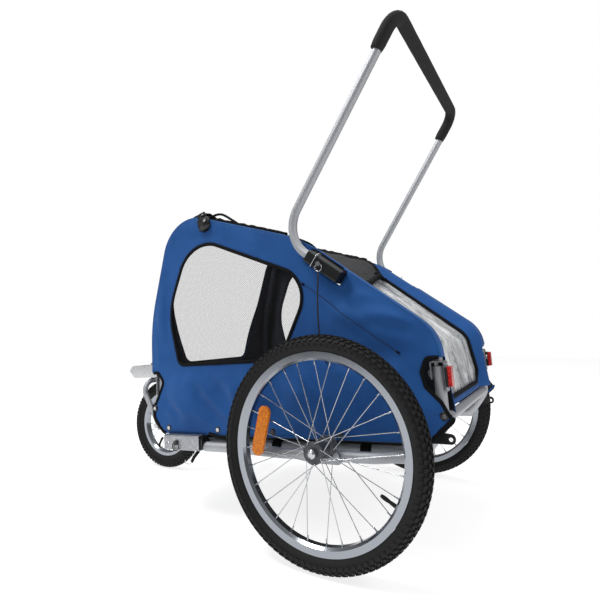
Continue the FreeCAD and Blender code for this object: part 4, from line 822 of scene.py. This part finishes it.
for side, sideName in bothSides:
    lifts = [sideLift(p.x, p.y, gap, side) for p, gap in zip(sideFlat, sideGap)]
    outside, inner = ([spot(p.x, side * (cabin["sideAt"] + lift - depth), p.y)
                       for p, lift in zip(sideFlat, lifts)] for depth in (0, cabin["thickness"]))
    cloth = doubleCloth(sideName + "SideCloth", outside, inner, sideFaces)
    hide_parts(sideName + "_side_panel")
    outward = Vector((0, side, 0))
    trim = [sideTape(sideName + "WindowBinding", windowOutline, side, "window", True)]
    seam = sideSpots(grow(windowOutline, 5), side, stitch["windowLift"])
    trim.append(stitches(sideName + "WindowStitches", seam + seam[:1], outward))
    for number, patch in enumerate(sidePatches[:2]):
        for line in runsOutside(patch, [sideOutline], True):
            trim.append(sideTape(f"{sideName}NotchBinding{number}", line, side, "notch"))
    for number, corner in enumerate(hemCorners):
        for line in runsOutside(sideOutline, [corner], True):
            trim.append(sideTape(f"{sideName}HemCornerBinding{number}", line, side, "corner"))
    for number, line in enumerate(runsOutside(sideOutline, sidePatches)):
        edge = sideSpots(line, side, cabin["pipingAt"])
        trim.append(roundBar(f"{sideName}Piping{number}", edge, cabin["piping"] / 1000, pipingClothPaintedHighlight))
    dart = [Vector(cabin["dart"][0]).lerp(Vector(cabin["dart"][1]), k / 30) for k in range(31)]
    dartLine = [spot(p.x, side * (cabin["sideAt"] + sideLift(p.x, p.y, 40, side) + 0.2), p.y) for p in dart]
    trim.append(roundBar(sideName + "DartSeam", dartLine, cabin["dartRadius"], lining, sides=6))
    for number, run in enumerate(sleeveRuns):
        line = [spot(p.x, side * sleeve["hoopAt"], p.y) for p in run]
        radii = [(sleeve["radius"] + 0.5 * noise.noise(p * 40)) / 1000 for p in line]
        trim.append(roundBar(f"{sideName}HoopSleeve{number}", line, radii, lining, sides=14))
    hemFlat = [Vector((x, cabin["hemFoot"] + cabin["hemHeight"] - 4)) for x in range(-190, 500, 15)]
    hemSeam = sideSpots(hemFlat, side, stitch["hemLift"])
    trim.append(stitches(sideName + "HemStitches", hemSeam, outward))
    sag = [math.sin(math.pi * smooth(p.x, 100, 500)) * smooth(p.y, 200, 400) for p in netFlat]
    netPoints = [spot(p.x, side * (cabin["sideAt"] + cabin["netAt"] - cabin["netSag"] * s), p.y)
                 for p, s in zip(netFlat, sag)]
    net = newPiece(sideName + "WindowNet", netPoints, netFaces, finish["black_mesh"], "chassis")
    if side == 1:
        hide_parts("window_meshes")
print("sides sewn,", len(sideFlat), "points each")

# One strip of cloth over the front, roof and rear; it hangs between the hoops on the rear slope
strip = {
    "line": [(536, 20, 0), (590, 74, 40), (590, 318, 500), (498, 642, 115), (64, 489, 400), (-255, 236, 100),
             (-272, 62, 0)],
    "hung": [(536, 20, 0), (590, 74, 40), (590, 318, 500), (498, 642, 115), (80.2, 459.7, 367),
             (-214.9, 214.2, 58), (-246.9, 62, 0)],
    "half": 282.2,
    "step": 10.0,
    "fallStart": 250.0,
    "fallEnd": 200.0,
    "notchIn": 245,
    "socketIn": 267,
    "past": 300,  # cuts run out beyond the edges
    "tapeHeight": 2.6,
    "tapeLift": 0.3,
}
stripLine = roundCorners(strip["line"], closed=False, arcPieces=18)
hungLine = roundCorners(strip["hung"], closed=False, arcPieces=18)
stripRun = np.concatenate([[0.0], np.cumsum([(b - a).length for a, b in zip(stripLine, stripLine[1:])])])
stripLong = float(stripRun[-1])
stripXZ = np.array([[p.x, p.y] for p in stripLine])
hungXZ = np.array([[p.x, p.y] for p in hungLine])


def stripPoint(s, hang=0.0):  # (x, z) on the strip, from the hoops' line (0) to the hung line (1)
    both = stripXZ + (hungXZ - stripXZ) * hang
    return float(np.interp(s, stripRun, both[:, 0])), float(np.interp(s, stripRun, both[:, 1]))


def runTo(test):  # first distance along the strip where a test on (x, z) holds
    return next(float(s) for s in range(int(stripLong)) if test(*stripPoint(s)))


def stripBase(s, y):  # a point on the strip in chassis millimetres
    hang = smooth(strip["fallStart"] - abs(y), 0, strip["fallStart"] - strip["fallEnd"])
    x, z = stripPoint(s, hang)
    return Vector((x, y, z))


def stripNormal(s, y):  # outward, in the chassis
    along = stripBase(min(s + 5, stripLong), y) - stripBase(max(s - 5, 0), y)
    across = stripBase(s, y + 4) - stripBase(s, y - 4)
    return across.cross(along).normalized()


def stripSpot(s, y, offset):  # a point on the strip, lifted off it by some millimetres
    return spot(*(stripBase(s, y) + stripNormal(s, y) * offset))


def stripOut(s, y):  # outward, in the scene
    return (chassisMatrix.to_3x3() @ stripNormal(s, y)).normalized()


def stripOpening(s0, s1, half, radius):  # a rounded opening in the strip
    return even(roundCorners([(s0, -half, radius[0]), (s0, half, radius[0]), (s1, half, radius[1]),
                              (s1, -half, radius[1])]), 8, True)


runs = {
    "frontLow": runTo(lambda x, z: z > 84),
    "frontHigh": runTo(lambda x, z: z > 174),
    "doorLow": runTo(lambda x, z: z > 190),
    "doorWaist": runTo(lambda x, z: z > 375),
    "doorHigh": runTo(lambda x, z: z > 582),
    "roofFront": runTo(lambda x, z: x < 430 and z > 300),
    "roofRear": runTo(lambda x, z: x < 105),
    "ridgeTop": runTo(lambda x, z: x < 60),
    "socketTop": runTo(lambda x, z: x < onSlope(socketSeat["from"], 0).x),
    "socketLow": runTo(lambda x, z: x < onSlope(socketSeat["to"], 0).x),
    "coverFar": runTo(lambda x, z: x < 22),
    "openTop": runTo(lambda x, z: x < 20),
    "coverEnd": runTo(lambda x, z: x < -80),
    "rearHigh": runTo(lambda x, z: x < 0 and z < 181),
    "openLow": runTo(lambda x, z: x < 0 and z < 80),
}
door = {"foot": 148, "waist": 222, "top": 243, "corner": 35, "waistRadius": 260, "tape": 11.0,
        "netBehind": 2.8}
doorSide = [(runs["doorLow"], door["foot"], door["corner"]),
            (runs["doorWaist"], door["waist"], door["waistRadius"]),
            (runs["doorHigh"], door["top"], door["corner"])]
farSide = [(s, -y, radius) for s, y, radius in reversed(doorSide)]
doorHole = even(roundCorners(farSide[-1:] + doorSide + farSide[:-1]), 8, True)
rearOpening = {"half": 214, "corners": (20, 40), "tape": 11.0}
rearHole = stripOpening(runs["openTop"], runs["openLow"], rearOpening["half"], rearOpening["corners"])
stripOutline = rectangle(0, stripLong, -strip["half"], strip["half"])
cornerCuts = []
for inner, stretches in (
        (strip["notchIn"], ((runs["frontLow"], runs["frontHigh"]), (runs["rearHigh"], stripLong + 20))),
        (strip["socketIn"], ((runs["socketTop"], runs["socketLow"]),))):
    for y0, y1 in ((inner, strip["past"]), (-strip["past"], -inner)):
        cornerCuts += [rectangle(s0, s1, y0, y1) for s0, s1 in stretches]
stripFlat, stripFaces = clothCut(stripOutline, [doorHole, rearHole] + cornerCuts, strip["step"])
stripGap = edgeDistance(stripFlat, stripFaces)


def stripLift(s, y, gap):  # slack in the strip, none at its edges
    return smooth(gap, 4, 40) * (1.6 * noise.noise(Vector((s / 120, y / 120, 9.0))) +
                                 0.7 * noise.noise(Vector((s / 36, y / 50, 4.0))))


stripLifts = [stripLift(p.x, p.y, gap) for p, gap in zip(stripFlat, stripGap)]
over = doubleCloth("roofStripCloth", [stripSpot(p.x, p.y, lift) for p, lift in zip(stripFlat, stripLifts)],
                   [stripSpot(p.x, p.y, lift - cabin["thickness"]) for p, lift in zip(stripFlat, stripLifts)],
                   stripFaces)
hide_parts("front_panel", "roof_panel", "rear_panel")
for name, hole, width in (("door", doorHole, door["tape"]), ("rearWindow", rearHole, rearOpening["tape"])):
    ring = [stripSpot(p.x, p.y, strip["tapeLift"]) for p in hole]
    tape(name + "Binding", ring, [stripOut(p.x, p.y) for p in hole], width,
                          strip["tapeHeight"], True)

doorFlat, doorFaces = clothCut(even(grow(doorHole, 8), 12, True), [], 16)
doorPoints = [stripSpot(p.x, p.y, -door["netBehind"]) for p in doorFlat]
doorNet = newPiece("frontDoorNet", doorPoints, doorFaces, doorNetting, "chassis")
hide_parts("front_door_mesh")

# Clear window: creases run down the slope and bunch at its foot
vinyl = {"crease": 9.0, "ripple": 3.4, "step": 6.0, "half": 221, "corners": (20, 44), "behind": 3.2}
vinylHole = stripOpening(runs["openTop"], runs["openLow"] + 6, vinyl["half"], vinyl["corners"])
vinylFlat, vinylFaces = clothCut(vinylHole, [], vinyl["step"])
vinylGap = edgeDistance(vinylFlat, vinylFaces)


def vinylLift(s, y, gap):  # creases, below the net cover only
    bend = 26 * noise.noise(Vector((s / 170, y / 90, 1.5)))
    crease = 1 - 2 * abs(noise.noise(Vector(((s + bend) / 210, (y + bend) / 42, 6.0))))
    ripple = noise.noise(Vector((s / 34, y / 26, 2.0)))
    below = smooth(s, runs["coverFar"] - 10, runs["coverEnd"] + 60)
    return below * smooth(gap, 6, 45) * (vinyl["crease"] * crease ** 3 + vinyl["ripple"] * ripple)


window = newPiece("clearRearWindow", [stripSpot(p.x, p.y, vinylLift(p.x, p.y, gap) - vinyl["behind"])
                                      for p, gap in zip(vinylFlat, vinylGap)],
                  vinylFaces, finish["clear_pvc"], "chassis")
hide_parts("rear_window")

# Black net over the top of the slope and along the roof, with a crumpled roll where it is turned back
cover = {"half": 246.0, "low": 212.0, "lift": 1.4, "crumple": 2.4, "tape": (12, 4.0), "tapeLift": 0.5}
coverCut = even(roundCorners([
    (runs["roofFront"], -cover["half"], 14), (runs["roofFront"], cover["half"], 14),
    (runs["ridgeTop"], cover["half"], 40), (runs["ridgeTop"] + 60, cover["low"], 40),
    (runs["coverEnd"], cover["low"], 14), (runs["coverFar"], -cover["low"], 14),
    (runs["ridgeTop"] - 40, -cover["half"], 20)]), 8, True)
coverFlat, coverFaces = clothCut(coverCut, [], 11)
roofCover = newPiece("roofNetCover", [stripSpot(p.x, p.y, cover["lift"] + cover["crumple"] * (1 + noise.noise(
    Vector((p.x / 40, p.y / 55, 7.0))))) for p in coverFlat], coverFaces, roofNet, "chassis")
coverRing = [stripSpot(p.x, p.y, cover["lift"] + cover["tapeLift"]) for p in coverCut]
coverBand = tape("roofNetBinding", coverRing, [stripOut(p.x, p.y) for p in coverCut], *cover["tape"], True)
roofRoll = {"at": 268.0, "step": 9, "radius": 6.5, "wander": 4.0}
for side, sideName in bothSides:
    slopeEnd = runs["coverEnd"] if side == 1 else runs["coverFar"] + 40
    for name, s0, s1, at in (("RoofRoll", runs["roofFront"], runs["roofRear"], roofRoll["at"]),
                             ("SlopeRoll", runs["ridgeTop"] + 20, slopeEnd, cover["low"] - 2)):
        walk = [s0 + k * roofRoll["step"] for k in range(int((s1 - s0) / roofRoll["step"]))]
        line, radii = [], []
        for s in walk:
            sway = roofRoll["wander"] * noise.noise(Vector((s / 30, side, at)))
            thick = roofRoll["radius"] * (1 + 0.45 * noise.noise(Vector((s / 17, 5.0, side))))
            line.append(stripSpot(s, side * (at + sway), thick * 0.7))
            radii.append(thick / 1000)
        roll = roundBar(sideName + name, line, radii, webbing, sides=9)
slopeRoll = {"half": 210, "step": 12, "sway": 9, "lift": 7.0, "radius": 8.0, "lumps": 2.5}
rollLine, rollRadii = [], []
for y in range(-slopeRoll["half"], slopeRoll["half"] + 1, slopeRoll["step"]):
    share = (y + cover["low"]) / (2 * cover["low"])
    s = runs["coverFar"] + (runs["coverEnd"] - runs["coverFar"]) * share
    sway = slopeRoll["sway"] * noise.noise(Vector((y / 45, 0, 3)))
    rollLine.append(stripSpot(s + sway, y, slopeRoll["lift"]))
    rollRadii.append((slopeRoll["radius"] + slopeRoll["lumps"] * noise.noise(Vector((y / 25, 2, 1)))) / 1000)
coverRoll = roundBar("slopeCoverRoll", rollLine, rollRadii, webbing, sides=12)
print("roof strip, nets and clear window hung")

# Foam sleeve on the handle
grip = {"crown": (-242.3, 979.2), "legUp": (-0.5864, 0.81), "halfWidth": 298.7, "below": 97, "corner": 45,
        "radius": 17, "endShare": 0.86, "lumps": 0.25}
gripFlat = even(roundCorners([(-grip["below"], grip["halfWidth"], 0), (0, grip["halfWidth"], grip["corner"]),
                              (0, -grip["halfWidth"], grip["corner"]),
                              (-grip["below"], -grip["halfWidth"], 0)], closed=False), 9, False)
gripLine = [spot(grip["crown"][0] + grip["legUp"][0] * p.x, p.y, grip["crown"][1] + grip["legUp"][1] * p.x)
            for p in gripFlat]
gripRadii = []
for i in range(len(gripLine)):
    fromEnd = min(i, len(gripLine) - 1 - i)
    swell = grip["endShare"] + (1 - grip["endShare"]) * smooth(fromEnd, -0.5, 2)
    gripRadii.append((grip["radius"] * swell + grip["lumps"] * noise.noise(Vector((i / 4, 1, 2)))) / 1000)
gripSleeve = roundBar("foamHandleGrip", gripLine, gripRadii, finish["foam_grip"], sides=24)
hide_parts("handle_grip")
print("handle sleeve fitted")

# Knobbed tyres: a smooth casing with staggered rows of small rubber blocks
rearTyre = {"rim": 210.0, "outer": 247.0, "width": 47.0, "rimWidth": 28.0, "pitches": 96}
frontTyre = {"rim": 113.0, "outer": 155.5, "width": 42.0, "rimWidth": 24.0, "pitches": 66}
tread = {"depth": 4.0, "bite": 1.2, "fill": 0.6, "taper": 0.82, "turns": 144,
         "shoulder": 0.32, "sidewall": 0.8, "seatGap": 0.6, "skew": 0.25, "rows": (
    # from and to along the section, height, stagger
    (0.02, 0.135, 4.0, 0.0), (0.175, 0.3, 4.0, 0.5), (0.345, 0.48, 3.6, 0.0), (0.53, 0.7, 2.2, 0.5))}
# the tread blocks are drawn a little lighter than the casing
knobRubber = tyreRubber("tyreRubberLighterKnobs", "#09090b", "#1a1a1d")
for name, tyre in (("left", rearTyre), ("right", rearTyre), ("front", frontTyre)):
    half = tyre["width"] / 2
    crown = tyre["outer"] - tread["depth"]
    shoulder = crown - tread["shoulder"] * tyre["width"]
    arch = (half ** 2 + (crown - shoulder) ** 2) / (2 * (crown - shoulder))
    bead = tyre["rimWidth"] / 2 - 1
    seat = tyre["rim"] + tread["seatGap"]
    profile = [(crown - arch + math.sqrt(arch ** 2 - (half * k / 9) ** 2), half * k / 9) for k in range(10)]
    profile += [(shoulder + (seat - shoulder) * k / 7,
                 bead + (half - bead) * math.cos(math.pi / 2 * k / 7) ** tread["sidewall"])
                for k in range(1, 8)]
    section = np.array(profile)
    run = np.concatenate([[0.0], np.cumsum(np.hypot(*np.diff(section, axis=0).T))])
    run /= run[-1]
    low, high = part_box(name + "_tyre")
    centre = Vector([(a + b) / 2 for a, b in zip(low, high)])
    ringPoints = [(r, -y) for r, y in reversed(profile[1:])] + profile
    points = [centre + Vector((r * math.cos(a), y, r * math.sin(a))) / 1000
              for a in angles(tread["turns"]) for r, y in ringPoints]
    faces = ringFaces(tread["turns"], len(ringPoints), True)
    casingFaces = len(faces)
    for side in (1, -1):
        for begin, end, rise, stagger in tread["rows"]:
            outline = []  # four corners in the casing, then four on top of the block
            for lift, shrink in ((-tread["bite"], 1.0), (rise, tread["taper"])):
                for du, dv in ((-1, -1), (1, -1), (1, 1), (-1, 1)):
                    at = (begin + end) / 2 + dv * shrink * (end - begin) / 2
                    here, ahead, behind = (Vector([np.interp(at + d, run, section[:, i]) for i in (0, 1)])
                                           for d in (0, 0.02, -0.02))
                    along = (ahead - behind).normalized()
                    outline.append((here.x + along.y * lift, side * (here.y - along.x * lift),
                                    du * shrink * tread["fill"] / 2))
            for k in range(tyre["pitches"]):
                faces += [tuple(len(points) + i for i in quad) for quad in boxFaces]
                for r, y, du in outline:
                    a = 2 * math.pi / tyre["pitches"] * (k + stagger + tread["skew"] * side + du)
                    points.append(centre + Vector((r * math.cos(a), y, r * math.sin(a))) / 1000)
    knobFaces = len(faces) - casingFaces
    casing = newPiece(name + "KnobbedTyre", points, faces, [finish["tyre_rubber"], knobRubber],
                      name + "_wheel", [0] * casingFaces + [1] * knobFaces)
    casing.data.polygons.foreach_set("use_smooth", [True] * casingFaces + [False] * knobFaces)
    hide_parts(name + "_tyre")
print("tyres moulded")


# Small parts of the wheels: spoke nipples and valves
def manyBars(name, bars, mat, body, sides=8):  # short turned pins as one piece
    points, faces = [], []
    for begin, end, radii in bars:
        along = (end - begin).normalized()
        first = along.orthogonal().normalized()
        second = along.cross(first)
        faces += ringFaces(len(radii), sides, start=len(points))
        for k, radius in enumerate(radii):
            centre = begin.lerp(end, k / (len(radii) - 1))
            points += [centre + (first * math.cos(a) + second * math.sin(a)) * (radius / 1000)
                       for a in angles(sides)]
    return newPiece(name, points, faces, mat, body)


wheelOut = 0.3635  # middle of each rear wheel, from the trailer's middle
wheels = {
    "left": {"hub": Vector((leftHub.x, wheelOut, leftHub.z)), "spokes": 28, "rimInner": 191.0,
             "valveAt": 206.7},
    "right": {"hub": Vector((leftHub.x, -wheelOut, leftHub.z)), "spokes": 28, "rimInner": 191.0,
              "valveAt": 62.0},
    "front": {"hub": frontHub, "spokes": 20, "rimInner": 98.0, "valveAt": 297.0},
}
nipple = {"length": 11.0, "radii": (1.5, 1.5, 1.9, 2.1), "offsets": (4.5, 2.0)}
valve = {"length": 36.0, "past": 1.0, "radii": (2.9, 4.3, 4.3, 4.1, 3.4, 4.0, 4.2, 4.4)}
for name, wheel in wheels.items():
    bars = []
    for number, a in enumerate(angles(wheel["spokes"])):
        y = nipple["offsets"][number % 4 // 2] * (-1) ** number * (-1 if name == "right" else 1)
        out = chassisMatrix.to_3x3() @ Vector((math.cos(a), 0, math.sin(a)))
        foot = wheel["hub"] + Vector((0, y / 1000, 0))
        bars.append((foot + out * ((wheel["rimInner"] - nipple["length"]) / 1000),
                     foot + out * (wheel["rimInner"] / 1000), nipple["radii"]))
    manyBars(name + "SpokeNipples", bars, finish["spoke_steel"], name + "_wheel")
    a = math.radians(wheel["valveAt"])
    out = Vector((math.cos(a), 0, math.sin(a)))
    stem = (wheel["hub"] + out * ((wheel["rimInner"] - valve["length"]) / 1000),
            wheel["hub"] + out * ((wheel["rimInner"] + valve["past"]) / 1000), valve["radii"])
    manyBars(name + "Valve", [stem], finish["tyre_rubber"], name + "_wheel", 12)
print("nipples and valves fitted")


# Straps and buckle
def block(name, centre, sides, turnBy, bevel, mat):  # a moulding with rounded edges
    bm = bmesh.new()
    bmesh.ops.create_cube(bm, size=1.0)
    bmesh.ops.scale(bm, vec=Vector(sides) / 1000, verts=bm.verts)
    bmesh.ops.bevel(bm, geom=list(bm.edges), offset=bevel / 1000, segments=3, affect="EDGES")
    place = chassisMatrix @ Matrix.Translation(Vector(centre) / 1000) @ turnBy
    bmesh.ops.transform(bm, matrix=place, verts=bm.verts)
    mesh = bpy.data.meshes.new(name)
    bm.to_mesh(mesh)
    bm.free()
    points = [v.co.copy() for v in mesh.vertices]
    faces = [tuple(p.vertices) for p in mesh.polygons]
    bpy.data.meshes.remove(mesh)
    return newPiece(name, points, faces, mat, "chassis")


def chassisLine(places):
    return [spot(*place) for place in places]


buckle = {"tilt": 14, "socket": {"centre": (370, 290.6, 582), "size": (40, 10, 34), "bevel": 2.8},
          "plug": {"centre": (376, 290.5, 604), "size": (28, 8, 22), "bevel": 2.2}}
leanRoof = Matrix.Rotation(math.radians(buckle["tilt"]), 4, "Y")
for name, half in (("roofBuckleSocket", buckle["socket"]), ("roofBucklePlug", buckle["plug"])):
    block(name, half["centre"], half["size"], leanRoof, half["bevel"], finish["black_plastic"])
# Webbing straps: route, outward direction at each point, width, height
straps = {
    "roofStrap": (((364, 288.2, 560), (370, 288.4, 583), (377, 288.2, 606), (379, 281, 615), (379, 262, 617),
                   (377, 236, 608)),
                  ((0, 1, 0), (0, 1, 0), (0, 1, 0), (0, 0.7, 0.7), (0.2, 0.1, 1), (0.2, 0, 1)), 20, 2.4),
    "receiverStrap": (((379, 287, 8), (358, 289, 3), (340, 289, -1), (306, 286, -5), (282, 279, -7)),
                      ((0, 1, 0.3),) * 5, 8, 1.8),
    "receiverHookStrap": (((402, 302, -34), (411, 302, -42), (421, 302, -52), (429, 302, -64)),
                          ((0, 1, 0),) * 4, 9, 2.0),
}
for name, (route, out, width, height) in straps.items():
    tape(name, chassisLine(route), [Vector(v) for v in out], width, height)
strapLoop = {"radius": 0.0034, "route": ((362, 272, 602), (346, 272, 607), (322, 272, 606), (304, 272, 596),
                                         (284, 270, 581), (268, 269, 569))}
roundBar("roofStrapLoop", splinePoints(chassisLine(strapLoop["route"])), strapLoop["radius"], webbing)
wireHook = {"radius": 0.0011, "route": ((429, 302, -62), (431, 302, -69), (442, 302, -71), (452, 302, -68),
                                        (454, 302, -63), (450, 302, -60))}
roundBar("receiverHook", splinePoints(chassisLine(wireHook["route"])), wireHook["radius"],
         finish["fastener_steel"], sides=8)
tubeLoop = {"places": (172, -68), "tube": (262, -20), "radius": 14.2, "width": 26, "height": 1.6}
tack = {"places": ((-168, 195), (61, 373)), "size": (9, 1.6, 5), "at": 286.4, "tilt": -37, "bevel": 0.7}
studs = {"places": ((527, 19), (349, 18), (173, 17), (-12, 16), (-255, 60), (581, 72)), "washer": 9.4,
         "foot": 284.6, "top": 287.1, "taper": (1, 1, 0.86)}
leanDart = Matrix.Rotation(math.radians(tack["tilt"]), 4, "Y")
for side, sideName in bothSides:
    for number, x in enumerate(tubeLoop["places"]):
        outs = [Vector((0, side * math.cos(a), math.sin(a))) for a in angles(20)]
        ring = [spot(x, side * tubeLoop["tube"][0] + tubeLoop["radius"] * v.y,
                     tubeLoop["tube"][1] + tubeLoop["radius"] * v.z) for v in outs]
        tape(f"{sideName}HemLoop{number}", ring, outs, tubeLoop["width"], tubeLoop["height"], True)
    for number, (x, z) in enumerate(tack["places"]):
        block(f"{sideName}DartTack{number}", (x, side * tack["at"], z), tack["size"], leanDart, tack["bevel"],
              webbing)
    washers = [(spot(x, side * studs["foot"], z), spot(x, side * studs["top"], z),
                [share * studs["washer"] for share in studs["taper"]]) for x, z in studs["places"]]
    manyBars(sideName + "StudWashers", washers, finish["black_plastic"], "chassis", 18)
print("straps and tacks sewn")
